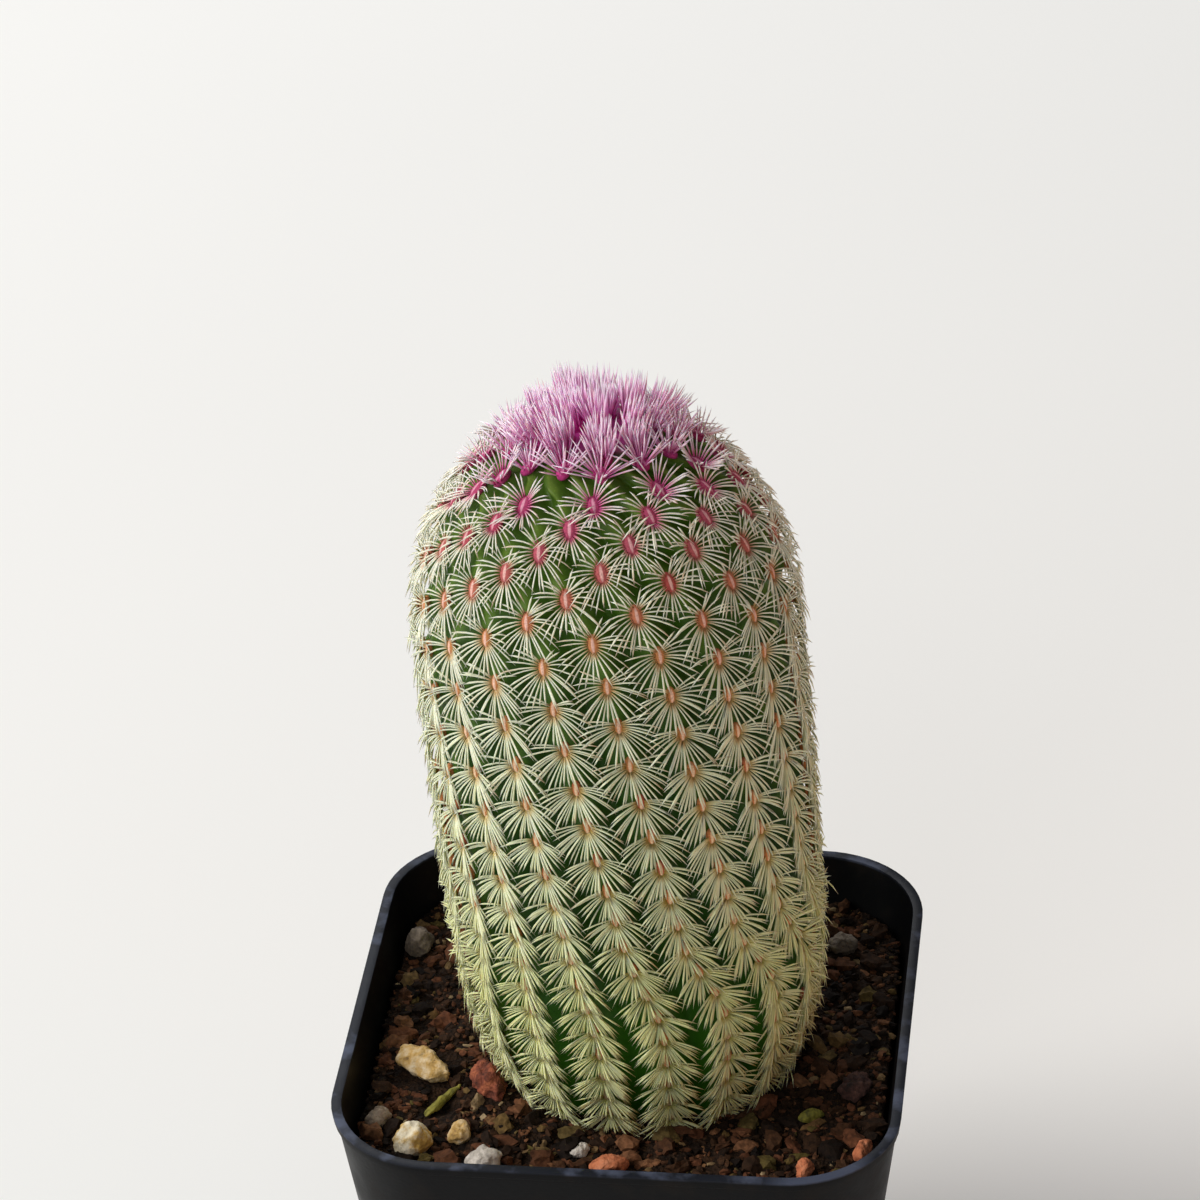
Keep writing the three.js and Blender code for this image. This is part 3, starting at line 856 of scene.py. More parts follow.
@dataclass(frozen=True)
class StemShape:
    """The stem's centre line, outline and ribs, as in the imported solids."""

    soil_level: float = 59.0
    foot: Pair = (2.0, -0.1)
    lean: Pair = (-2.0, -1.7)
    bend: Pair = (-1.4, 2.2)
    straighten: Pair = (0.5, 0.0)
    bend_span: float = 50.0
    radius: float = 22.2
    foot_narrowing: float = 5.4
    foot_fade: float = 8.0
    shoulder: float = 62.0
    dome: float = 26.0
    dome_power: float = 2.35
    crown_radius: float = 11.8
    tip_radius: float = 0.9
    arc_step: float = 0.2
    ribs: int = 20
    rib_turn: float = -2.66
    step_shift: float = 0.55
    slant: float = math.radians(9.7)
    slant_zone: Pair = (12.0, 26.0)
    swirl: float = math.radians(35)
    swirl_zone: Pair = (66.0, 76.0)
    step_sizes: Pair = (3.5, 5.1)
    step_zone: Pair = (26.0, 58.0)
    foot_spread: float = 0.21
    spread_zone: Pair = (18.0, 30.0)
    spread_from: float = -0.2
    buried: tuple[Pair, ...] = ((4.0, 14.2), (10.0, 8.0), (17.0, 2.6), (26.0, 1.3))

    def crest_radius(self, height: Array) -> Array:
        """Finds the radius over the ribs.

        Args:
            height: Height above the soil.

        Returns:
            The radius there.
        """
        share = np.clip((height - self.shoulder) / self.dome, 0, 1)
        column = self.radius - self.foot_narrowing * np.exp(-height / self.foot_fade)
        return column * np.sqrt(1 - share**self.dome_power)

    def dome_height(self, radius: float) -> float:
        """Height of the dome where its radius is as given."""
        return self.shoulder + self.dome * (1 - (radius / self.radius) ** 2) ** (1 / self.dome_power)

    def rib_angle(self, rib: Array, height: Array, turn: Array) -> Array:
        """Finds the angle of a rib, which stands further from the next at the front of the foot.

        Args:
            rib: Which rib, or a place between ribs.
            height: Height above the soil.
            turn: How far the ribs have turned there.

        Returns:
            The angle from the front to the right, in radians.
        """
        even = self.rib_turn + turn + 2 * math.pi * rib / self.ribs
        spread = self.foot_spread * (1 - smoothstep(*self.spread_zone, height))
        return even + spread * np.sin(even - self.spread_from)

    def place(self, height: Array, angle: Array, radius: Array) -> Array:
        """Finds a point of the stem.

        Args:
            height: Height above the soil.
            angle: Angle from the front to the right, in radians.
            radius: Distance from the centre line.

        Returns:
            The point, in the part's frame.
        """
        share = (np.asarray(height) / self.bend_span)[..., None]
        lean, bend, straighten = (np.array(way) for way in (self.lean, self.bend, self.straighten))
        middle = np.array(self.foot) + lean * share + bend * share**2 + straighten * share**3
        slope = (lean + 2 * bend * share + 3 * straighten * share**2) / self.bend_span
        centre = np.concatenate([middle, self.soil_level + np.asarray(height)[..., None]], axis=-1)
        along = unit(np.concatenate([slope, np.ones_like(slope[..., :1])], axis=-1))
        right = unit(np.array([1.0, 0, 0]) - along * along[..., :1])
        back = np.cross(along, right)
        radius, angle = np.asarray(radius)[..., None], np.asarray(angle)[..., None]
        return centre + radius * np.sin(angle) * right - radius * np.cos(angle) * back

    def growth(self) -> Growth:
        """Follows the ribs from the soil, over the shoulder where they start to swirl, to the tip.

        Returns:
            The growth, row by row.
        """
        rows = [(0.0, 0.0, float(self.crest_radius(0.0)), 0.0, 0.0)]
        while rows[-1][2] > self.tip_radius:
            arc, height, radius, turn, steps = rows[-1]
            if radius > self.crown_radius or arc < self.shoulder:
                flare = (float(self.crest_radius(height + self.arc_step)) - radius) / self.arc_step
                next_height = height + self.arc_step / math.hypot(1, flare)
                next_radius = float(self.crest_radius(next_height))
            else:
                next_radius = radius - self.arc_step
                next_height = self.dome_height(next_radius)
            gone = math.hypot(next_height - height, next_radius - radius)
            low = self.slant * smoothstep(*self.slant_zone, arc)
            slant = low + (self.swirl - low) * smoothstep(*self.swirl_zone, arc)
            short, long = self.step_sizes
            step = short + (long - short) * smoothstep(*self.step_zone, arc)
            turn -= gone * math.tan(slant) / radius
            rows.append((arc + gone, next_height, next_radius, turn, steps + gone / step))
        return Growth(*np.array(rows).T)


def facing(point: Callable[..., Array], nudge: float = 0.05) -> tuple[Array, Array]:
    """Finds which ways lead to the tip and aside from places on the stem.

    Args:
        point: Gives a point beside each place, by a way towards the tip and by angle.
        nudge: How far beside.

    Returns:
        The ways towards the tip and to the side.
    """
    return unit(point(nudge, 0) - point(-nudge, 0)), unit(point(0, nudge) - point(0, -nudge))


@dataclass
class AreoleFrames:
    """Where the areoles stand and how they face: towards the tip, to the side and out."""

    place: Array
    up: Array
    side: Array
    out: Array
    height: Array
    radius: Array
    arc: Array
    tone: Array

    def joined(self, other: "AreoleFrames") -> "AreoleFrames":
        """These areoles and then the other ones."""
        return AreoleFrames(*(np.concatenate(pair) for pair in zip(vars(self).values(), vars(other).values())))


@dataclass
class Cactus:
    """The grown plant: ribbed stem, felted areoles and their spines."""

    shape: StemShape = field(default_factory=StemShape)
    rib_columns: int = 12
    row_spacing: float = 0.5
    buried_rings: tuple[float, ...] = (0.0, 1.0, 2.0, 3.0, 4.0, 7.0, 10.0, 13.5, 17.0, 21.0, 26.0)
    buried_relief: float = 4.0
    rib_depth: float = 2.5
    rib_power: float = 1.7
    notch: Pair = (0.25, 0.95)
    notch_zone: Pair = (30.0, 62.0)
    relief_zone: Pair = (3.0, 15.0)
    areole_seed: int = 11
    crown_seed: int = 17
    spine_seed: int = 29
    first_areole: float = 1.0
    meridian_share: float = 0.15
    areole_rise: float = 0.1
    pad_low: Triple = (0.58, 1.15, 0.5)
    pad_high: Triple = (0.9, 1.45, 0.6)
    upper_zone: Pair = (62.0, 80.0)
    loose_zone: Pair = (8.0, 40.0)
    droop_zone: Pair = (26.0, 66.0)
    young_radii: Pair = (11.5, 15.5)
    young_arc: float = 70.0
    spine_length: float = 4.5
    spine_lift: float = 20.0
    spine_sag: float = 0.3
    spine_thickness: float = 0.128
    spines_each: int = 26
    base_spines: int = 22
    spine_rows: tuple[Pair, ...] = (
        (12.0, 86.0), (20.0, 88.0), (29.0, 82.0), (45.0, 76.0), (54.0, 64.0), (63.0, 40.0), (71.0, 14.0)
    )
    tuft_rings: tuple[tuple[float, int], ...] = ((9.9, 13), (7.4, 11), (4.9, 8), (2.4, 4), (0.6, 1))
    tuft_spines: int = 30
    tuft_fineness: float = 0.9
    tuft_spread: float = math.radians(22)
    tuft_lengths: Pair = (4.2, 6.6)
    tuft_lean: Pair = (0.0, -6.0)
    tuft_lean_varies: float = 12.0
    rim_from: float = 7.0
    rim_flare: float = math.radians(24)
    zones: tuple[tuple[str, float, float], ...] = (
        ("spines_base", -5, 26), ("spines_middle", 26, 52), ("spines_upper", 52, 78), ("spines_crown", 78, 120)
    )
    skin: LivingSkin = field(default_factory=LivingSkin)
    felt: AreoleFelt = field(default_factory=AreoleFelt)
    horn: SpineHorn = field(default_factory=SpineHorn)

    def build(self) -> list[Piece]:
        """Models the plant and dresses it.

        Returns:
            Its pieces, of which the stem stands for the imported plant.
        """
        growth = self.shape.growth()
        frames, crown = self._areole_frames(growth), self._crown_frames(growth)
        stem = self._stem(growth)
        self.skin.put_on(stem)
        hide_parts("cactus")
        pads = self._pads(frames.joined(crown))
        self.felt.put_on(pads)
        spines = self._spines(frames, crown)
        for piece in spines:
            self.horn.put_on(piece)
        return [stem, pads, *spines]

    def _stem_rows(self, growth: Growth) -> Array:
        """Lists the stem's rows from the tip to the end of the root.

        Args:
            growth: How the stem grew.

        Returns:
            A row of height, radius, turn, steps and share of relief for each ring.
        """
        arcs = np.arange(growth.arc[-1], 0, -self.row_spacing)
        grown = (growth.height, growth.radius, growth.turn, growth.steps)
        columns = [np.interp(arcs, growth.arc, column) for column in grown]
        above = np.column_stack([*columns, smoothstep(*self.relief_zone, columns[1])])
        depths = np.array(self.buried_rings)
        known_depths, known_radii = zip((0.0, float(self.shape.crest_radius(0.0))), *self.shape.buried)
        radii = np.interp(depths, known_depths, known_radii)
        steps, relief = -depths / self.shape.step_sizes[0], 1 - smoothstep(0, self.buried_relief, depths)
        below = np.column_stack([-depths, radii, np.zeros_like(depths), steps, relief])
        return np.vstack([above, below])

    def _stem(self, growth: Growth) -> Piece:
        """Models the ribbed stem with its buried neck and root, from a sphere whose rings become its rows.

        Args:
            growth: How the stem grew.

        Returns:
            The closed stem.
        """
        shape = self.shape
        rows = self._stem_rows(growth)
        columns, rings = shape.ribs * self.rib_columns, len(rows) + 1
        sphere = bpy.ops.mesh.primitive_uv_sphere_add
        stem = new_piece("cactus_stem", sphere, segments=columns, ring_count=rings, radius=MM)
        ball = points_of(stem)
        ring = np.rint(np.arccos(np.clip(ball[:, 2], -1, 1)) / math.pi * rings).astype(int)
        column = np.rint(np.arctan2(ball[:, 1], ball[:, 0]) / (2 * math.pi) * columns).astype(int) % columns
        top, bottom = ring == 0, ring == rings
        pole = top | bottom
        height, radius, turn, steps, relief = rows[np.clip(ring - 1, 0, len(rows) - 1)].T
        rib_place = column / self.rib_columns
        rib = np.rint(rib_place)
        off = 2 * np.abs(rib_place - rib)
        phase = steps - shape.step_shift * rib
        between = (1 - np.cos(2 * math.pi * phase)) / 2
        low, high = self.notch
        deeper = smoothstep(*self.notch_zone, height)
        notch = low + (high - low) * deeper
        power = self.rib_power + 0.5 * (1 - 2 * between) * deeper
        depth = self.rib_depth * off**power + notch * between * (1 - off**2)
        radius = np.where(pole, 0, radius - depth * relief)
        height = np.where(top, shape.shoulder + shape.dome, height)
        height = np.where(bottom, rows[-1, 0] - 0.5, height)
        places = shape.place(height, shape.rib_angle(rib_place, height, turn), radius)
        stem.data.vertices.foreach_set("co", (places * MM).ravel())
        stem.data.update()
        age = np.interp(height, growth.height, growth.arc) / 100
        note(stem, height.shape, age=age, crest=np.where(pole, 1, 1 - off))
        stem.data.shade_smooth()
        return stem

    def _areole_frames(self, growth: Growth) -> AreoleFrames:
        """Finds every areole's place and facing.

        Args:
            growth: How the stem grew.

        Returns:
            The frames, rib by rib.
        """
        shape = self.shape
        random = np.random.default_rng(self.areole_seed)
        first = float(np.interp(self.first_areole, growth.height, growth.steps))
        last = float(growth.steps[(growth.radius > shape.crown_radius).nonzero()[0][-1]])
        ribs, steps = [], []
        for rib in range(shape.ribs):
            shift = shape.step_shift * rib % 1
            own = np.arange(math.ceil(first - shift), math.floor(last - shift) + 1) + shift
            ribs.extend([rib] * len(own))
            steps.extend(own)
        ribs, steps = np.array(ribs), np.array(steps)
        height, radius, turn_here, arc = growth.after(steps)

        def point(step_off: float, angle_off: float) -> Array:
            """Finds points beside the areoles.

            Args:
                step_off: How far along their ribs, in steps.
                angle_off: How far aside, by angle.

            Returns:
                A point for each.
            """
            height, radius, turn, _ = growth.after(steps + step_off)
            slanted = turn_here + self.meridian_share * (turn - turn_here)
            angle = shape.rib_angle(ribs, height, slanted)
            return shape.place(height, angle + angle_off, radius + self.areole_rise)

        up, side = facing(point)
        side = unit(side - up * (side * up).sum(axis=-1, keepdims=True))
        return AreoleFrames(
            point(0, 0), up, side, np.cross(side, up), height, radius, arc, random.random(len(steps))
        )

    def _crown_frames(self, growth: Growth) -> AreoleFrames:
        """Finds the places of the young tufts that fill the crown, ring within ring.

        Args:
            growth: How the stem grew.

        Returns:
            The tufts' frames, from the outer ring in.
        """
        random = np.random.default_rng(self.crown_seed)
        radius = np.concatenate([np.full(count, ring) for ring, count in self.tuft_rings])
        angle = np.concatenate([(np.arange(count) + 0.5) / count * 2 * math.pi for _, count in self.tuft_rings])
        radius = radius + random.uniform(-0.35, 0.35, len(radius))
        angle = angle + random.uniform(-0.7, 0.7, len(radius)) / radius
        height = self.shape.dome_height(radius)
        arc = np.interp(height, growth.height, growth.arc)

        def point(inwards: float, angle_off: float) -> Array:
            """A point beside the tuft, by distance towards the middle and by angle."""
            there = radius - inwards
            return self.shape.place(self.shape.dome_height(there), angle + angle_off, there)

        up, side = facing(point)
        tone = random.random(len(radius))
        return AreoleFrames(point(0, 0), up, side, np.cross(side, up), height, radius, arc, tone)

    def _pad_sizes(self, frames: AreoleFrames) -> Array:
        """Finds how large each areole's pad is.

        Args:
            frames: The areoles.

        Returns:
            Half sizes of each: side, up and out.
        """
        share = smoothstep(*self.upper_zone, frames.arc)[:, None]
        base = 0.9 + 0.1 * smoothstep(2, 25, frames.height)[:, None]
        return (np.array(self.pad_low) + (np.array(self.pad_high) - np.array(self.pad_low)) * share) * base

    def _pads(self, frames: AreoleFrames) -> Piece:
        """Models one felted pad and copies it to every areole.

        Args:
            frames: The areoles.

        Returns:
            All pads as one piece.
        """
        pad = new_piece("pad", bpy.ops.mesh.primitive_uv_sphere_add, segments=12, ring_count=7, radius=1)
        with edit_mode(pad):
            pick(pad, Element.VERTEX, lambda vertex: vertex.co.z < -0.3)
            scale_picked(0.9)
        pattern = Pattern.taken_from(pad)
        local = pattern.points[None] * self._pad_sizes(frames)[:, None]
        places = frames.place[:, None]
        for axis, way in enumerate((frames.side, frames.up, frames.out)):
            places = places + local[..., axis : axis + 1] * way[:, None]
        pads = pattern.copies("areole_pads", places)
        across, along, age, tone = local[..., 0], local[..., 1], frames.arc[:, None] / 100, frames.tone[:, None]
        note(pads, places.shape[:2], across=across, along=along, age=age, tone=tone)
        return pads

    @staticmethod
    def _spine_pattern() -> Pattern:
        """Models one spine: three-sided, full for most of its length, then drawn to a point.

        Returns:
            The spine, one unit long and one unit in radius.
        """
        size = {"vertices": 3, "radius1": 1, "radius2": 0, "depth": 1, "location": (0, 0, 0.5)}
        spine = new_piece("spine", bpy.ops.mesh.primitive_cone_add, **size)
        with edit_mode(spine):
            for cut, full in ((0.2, 0.97), (0.45, 0.86), (0.72, 0.6)):
                cut_level(cut)
                pick(spine, Element.VERTEX, lambda vertex: abs(vertex.co.z - cut) < 0.01)
                scale_picked(full / (1 - cut))
        return Pattern.taken_from(spine)

    def _spines(self, frames: AreoleFrames, crown: AreoleFrames) -> list[Piece]:
        """Sets the spines round every areole, in one piece for each zone of the stem.

        Args:
            frames: The areoles on the ribs.
            crown: The young tufts on top.

        Returns:
            The spines, from the base to the crown.
        """
        pattern = self._spine_pattern()
        random = np.random.default_rng(self.spine_seed)
        sizes = self._pad_sizes(frames)
        fans = [self._fan(frames, i, sizes[i], random) for i in range(len(frames.height))]
        tufts = [self._tuft(crown, i, random) for i in range(len(crown.height))]
        root, way, bend, thick, tone, arc = (np.concatenate(column) for column in zip(*fans, *tufts))
        across = unit(np.cross(way, np.roll(way, 1, axis=1) + np.array([0.3, 0.1, 0.7])))
        over = np.cross(unit(way), across)
        along = pattern.points[:, 2]
        local = pattern.points[None] * thick[:, None, None]
        places = (
            root[:, None]
            + way[:, None] * along[None, :, None]
            + bend[:, None] * (along**2)[None, :, None]
            + local[..., :1] * across[:, None]
            + local[..., 1:2] * over[:, None]
        )
        pieces = []
        for name, low, high in self.zones:
            own = (arc >= low) & (arc < high)
            piece = pattern.copies(name, places[own])
            shape = (int(own.sum()), len(along))
            note(piece, shape, along=along, age=arc[own][:, None] / 100, tone=tone[own][:, None])
            pieces.append(piece)
        return pieces

    def _fan(self, frames: AreoleFrames, i: int, pad: Array, random: np.random.Generator) -> tuple:
        """Lays out one areole's spines like the teeth of a comb bent round it.

        Low on the stem they are many, fine and loose, and droop. Near the crown they are short and stand up.

        Args:
            frames: The areoles.
            i: Which areole.
            pad: Its pad's half sizes.
            random: The source of small differences.

        Returns:
            Root, way to the tip, bend, thickness, tone and arc of each spine.
        """
        height, radius, arc = (float(row[i]) for row in (frames.height, frames.radius, frames.arc))
        up, side, out = frames.up[i], frames.side[i], frames.out[i]
        low, high = self.droop_zone
        droop = float(np.clip((high - height) / (high - low), 0, 1))
        loose = 1 - smoothstep(*self.loose_zone, height)
        young = (1 - smoothstep(*self.young_radii, radius)) if arc > self.young_arc else 0.0
        count = self.spines_each + round(self.base_spines * loose)
        turn = (np.arange(count) + 0.5) / count * 2 - 1 + random.uniform(-0.3, 0.3, count) / count
        least = math.radians(float(np.interp(height, *zip(*self.spine_rows))))
        angle = np.sign(turn) * (least + (math.pi - least) * np.abs(turn))
        flat = np.cos(angle)[:, None] * up + np.sin(angle)[:, None] * side
        lateral = np.abs(np.sin(angle))
        full = self.spine_length - 0.1 * smoothstep(10, 30, height) + 0.8 * smoothstep(34, 58, height)
        full = full - 0.8 * smoothstep(*self.upper_zone, arc)
        end = np.where(np.cos(angle) > 0, 0.62 + 0.38 * young, 0.84 - 0.3 * young - 0.22 * loose)
        length = full * (end + (1 - end) * lateral) * random.uniform(0.82, 1.07, count)
        lift = np.radians(self.spine_lift + 4 * droop + 23 * young + random.normal(0, 2.5 + 4 * loose, count))
        way = np.cos(lift)[:, None] * flat + np.sin(lift)[:, None] * out
        way = unit(way + 0.5 * young * up + random.normal(0, 0.04 + 0.02 * loose, (count, 3))) * length[:, None]
        sag = (self.spine_sag + 0.1 * droop - 0.12 * loose) * (1 - 0.8 * young) * lateral * length
        sag *= random.uniform(0.7, 1.3, count)
        bend = -0.15 * (1 - young) * length[:, None] * out - sag[:, None] * up
        root = (
            frames.place[i]
            + 0.6 * pad[0] * np.sin(angle)[:, None] * side
            + (0.85 * np.cos(angle) * random.uniform(0.75, 1.05, count))[:, None] * pad[1] * up
            + 0.5 * pad[2] * out
        )
        thin = 0.26 * loose + 0.1 * smoothstep(56, 68, height)
        thick = self.spine_thickness * random.uniform(0.8, 1.1, count) * (1 - thin)
        return root, way, bend, thick, random.random(count), np.full(count, arc)

    def _tuft(self, crown: AreoleFrames, i: int, random: np.random.Generator) -> tuple:
        """Lays out one young tuft of the crown, like a shaving brush that opens towards its tips.

        Args:
            crown: The tufts.
            i: Which tuft.
            random: The source of small differences.

        Returns:
            Root, way to the tip, bend, thickness, tone and arc of each spine.
        """
        up, side, out = crown.up[i], crown.side[i], crown.out[i]
        edge = float(smoothstep(self.rim_from, self.tuft_rings[0][0], crown.radius[i]))
        count = self.tuft_spines
        share = np.sqrt((np.arange(count) + 0.5) / count)
        angle = np.arange(count) * GOLDEN_ANGLE + crown.tone[i] * 6
        spread = self.tuft_spread * share * random.uniform(0.8, 1.2, count)
        lean = np.radians(random.normal(self.tuft_lean, self.tuft_lean_varies)) * (1 - 0.7 * edge)
        aside = np.sin(angle) * spread * (1 + 1.8 * edge) + lean[0]
        above = np.cos(angle) * spread * (1 + 1.1 * edge) + lean[1] + self.rim_flare * edge
        flat = np.tan(aside)[:, None] * side + np.tan(above)[:, None] * up
        short, long = self.tuft_lengths
        full = short + (long - short) * float(crown.tone[i]) - 0.9 * edge
        length = full * random.uniform(0.84, 1.04, count)
        way = unit(out + flat) * length[:, None]
        bend = (0.26 * edge - 0.14) * length[:, None] * unit(flat)
        ring = np.cos(angle)[:, None] * up + np.sin(angle)[:, None] * side
        root = crown.place[i] + 0.8 * share[:, None] * ring - 0.1 * out
        thick = self.tuft_fineness * self.spine_thickness * random.uniform(0.85, 1.1, count)
        return root, way, bend, thick, random.random(count), np.full(count, float(crown.arc[i]))


# ---------------------------------------------------------------- soil and what lies on it


@dataclass(frozen=True)
class Crumbs:
    """One lot of loose crumbs: how many, the least and largest half size, and how finely each is modelled."""

    name: str
    count: int
    sizes: Pair
    detail: int
    seed: int


@dataclass
class PottingMix:
    """The mix that fills the pot, with its crumbs."""

    pot: PlantPot
    shape: StemShape
    clear_of: tuple[str, ...]
    drop: float = 6.4
    seat_gap: float = 0.3
    side_gap: float = 0.4
    corner_less: float = 2.1
    corner_steps: int = 8
    voxel: float = 0.9
    lump_size: float = 3.6
    lump_rise: float = 2.4
    top_zone: float = 1.6
    crumbs: tuple[Crumbs, ...] = (
        Crumbs("soil_crumbs_large", 620, (0.7, 1.8), 2, 41),
        Crumbs("soil_crumbs_small", 4200, (0.3, 0.75), 1, 43),
    )
    crumb_knobs: float = 0.32
    crumb_widths: Pair = (0.45, 0.9)
    crumb_heights: Pair = (0.35, 0.75)
    crumb_tilt: float = 0.45
    peat: DampPeat = field(default_factory=DampPeat)
    crumb: SoilCrumb = field(default_factory=SoilCrumb)

    def build(self) -> list[Piece]:
        """Models the mix and its crumbs and dresses them.

        Returns:
            The pieces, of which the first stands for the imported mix.
        """
        levels = (self.pot.floor_top + self.seat_gap, self.top)
        foot, side = map(self._side_at, levels)
        corner = self.pot.rim_corner - self.corner_less
        mix = tapered_block("potting_mix", levels, (foot, side), corner, self.corner_steps)
        self._sink_socket(mix)
        finish_with(mix, "REMESH", mode="VOXEL", voxel_size=self.voxel * MM)
        self._make_uneven(mix)
        mix.data.shade_smooth()
        self.peat.put_on(mix)
        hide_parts("soil")
        crumbs = [self._scatter(mix, lot) for lot in self.crumbs]
        for piece in crumbs:
            self.crumb.put_on(piece)
        return [mix, *crumbs]

    @property
    def top(self) -> float:
        """The level of the mix before its lumps are raised."""
        return self.pot.height - self.drop

    def _side_at(self, level: float) -> float:
        """The mix's side at a height, inside the pot's wall."""
        outside = self.pot.foot_side + (self.pot.wall_side - self.pot.foot_side) * level / self.pot.height
        return outside - 2 * (self.pot.wall + self.side_gap)

    def _sink_socket(self, mix: Piece) -> None:
        """Cuts the hole that the buried neck and root fill.

        Args:
            mix: The closed block.
        """
        x, y = self.shape.foot
        profile = [(-5.0, 14.6), *((depth + 0.3, radius + 0.5) for depth, radius in self.shape.buried)]
        depth, radius = profile[0]
        place = (x * MM, y * MM, (self.shape.soil_level - depth) * MM)
        disc = {"vertices": 48, "radius": radius * MM, "fill_type": "NGON", "location": place}
        socket = new_piece("socket", bpy.ops.mesh.primitive_circle_add, **disc)
        with edit_mode(socket):
            for next_depth, next_radius in profile[1:]:
                raise_picked(depth - next_depth)
                scale_picked(next_radius / radius)
                depth, radius = next_depth, next_radius
            bpy.ops.mesh.select_all(action="SELECT")
            bpy.ops.mesh.normals_make_consistent(inside=False)
        cut_out(mix, socket)

    def _make_uneven(self, mix: Piece) -> None:
        """Raises and sinks the top of the mix.

        Args:
            mix: The remeshed block.
        """
        group = mix.vertex_groups.new(name="top")
        top = np.flatnonzero(points_of(mix)[:, 2] > self.top - self.top_zone)
        group.add(top.tolist(), 1.0, "REPLACE")
        roughen(mix, self.lump_size, self.lump_rise, 0.5, direction="Z", vertex_group=group.name)

    def _scatter(self, mix: Piece, lot: Crumbs) -> Piece:
        """Strews crumbs over the mix, clear of the stem, the loose pieces and the pot's wall.

        Args:
            mix: What they lie on.
            lot: The crumbs.

        Returns:
            All these crumbs as one piece.
        """
        lump = new_piece("crumb", bpy.ops.mesh.primitive_ico_sphere_add, subdivisions=lot.detail, radius=1)
        with edit_mode(lump):
            pick(lump, Element.FACE, lambda face: face.normal.z > 0.75)
            scale_picked(1.15, 0.8)
        pattern = Pattern.taken_from(lump)
        ground = BVHTree.FromPolygons(
            [vertex.co for vertex in mix.data.vertices], [tuple(face.vertices) for face in mix.data.polygons]
        )
        random = np.random.default_rng(lot.seed)
        reach = self._side_at(self.shape.soil_level) / 2
        corner = self.pot.rim_corner - 2
        stem_x, stem_y = self.shape.foot
        stem_radius = float(self.shape.crest_radius(0.0)) - 0.6
        pieces = [(low / MM, high / MM) for low, high in map(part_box, self.clear_of)]
        copies, tones = [], []
        least, largest = lot.sizes
        while len(copies) < lot.count:
            size = least + (largest - least) * random.random() ** 2
            x, y = random.uniform(-reach, reach, 2)
            past = np.clip(np.abs([x, y]) - (reach - corner), 0, None)
            if math.hypot(*past) > corner - 0.5 * size or math.hypot(x - stem_x, y - stem_y) < stem_radius + size:
                continue
            if any(low.x < x < high.x and low.y < y < high.y for low, high in pieces):
                continue
            hit = ground.ray_cast(Vector((x * MM, y * MM, 0.08)), Vector((0, 0, -1)))[0]
            if hit is None or hit.z < (self.shape.soil_level - 4) * MM:
                continue
            knobs = random.uniform(-self.crumb_knobs, self.crumb_knobs, (len(pattern.points), 1))
            halves = size * np.array([1, random.uniform(*self.crumb_widths), random.uniform(*self.crumb_heights)])
            turn = Matrix.Rotation(random.uniform(0, 2 * math.pi), 3, "Z")
            turn = turn @ Matrix.Rotation(random.normal(0, self.crumb_tilt), 3, "X")
            shaped = (pattern.points * (1 + knobs) * halves) @ np.array(turn).T
            copies.append(shaped + np.array([x, y, hit.z / MM + 0.25 * halves[2]]))
            tones.append(random.random())
        piece = pattern.copies(lot.name, np.array(copies))
        note(piece, (lot.count, len(pattern.points)), tone=np.array(tones)[:, None])
        piece.data.shade_flat()
        return piece


class Scrap(Enum):
    """The finishes of the loose pieces."""

    STONE = RoughStone("pumice_grit", "pale_stone")
    LIMESTONE = RoughStone(
        "limestone_grit",
        "pale_stone",
        stops=((0.3, "#8a6c34"), (0.42, "#c09a4c"), (0.52, "#d8ccb0"), (0.75, "#f0e8d8")),
        grain=3.2,
    )
    PALE = RoughStone("quartz_grit", "pale_stone", stops=((0.2, "#6e6660"), (0.5, "#c4bcb2"), (0.8, "#e2dcd4")))
    PEBBLE = RoughStone(
        "river_pebble", "dark_pebble", 0.75, stops=((0.25, "#3a322c"), (0.5, "#6f6254"), (0.8, "#988a7a"))
    )
    WORN = RoughStone("worn_grit", "pale_stone", stops=((0.25, "#4e4034"), (0.5, "#8a7866"), (0.8, "#b8a894")))
    BARK = RoughStone(
        "composted_bark", "bark", stops=((0.3, "#26120c"), (0.5, "#7c3e2a"), (0.75, "#c07048")), relief=0.5
    )
    DARK_BARK = RoughStone(
        "old_bark", "bark", stops=((0.3, "#1c110d"), (0.5, "#4a2e26"), (0.75, "#6f4c40")), relief=0.5
    )
    CLAY = RoughStone(
        "fired_clay", "clay_chip", 0.88, stops=((0.25, "#7a3c24"), (0.5, "#c0714a"), (0.8, "#d99a78"))
    )
    PLANT = RoughStone(
        "dry_husk", "plant_scrap", 0.8, stops=((0.3, "#3e3c10"), (0.5, "#7a7424"), (0.8, "#aca044")), relief=0.2
    )


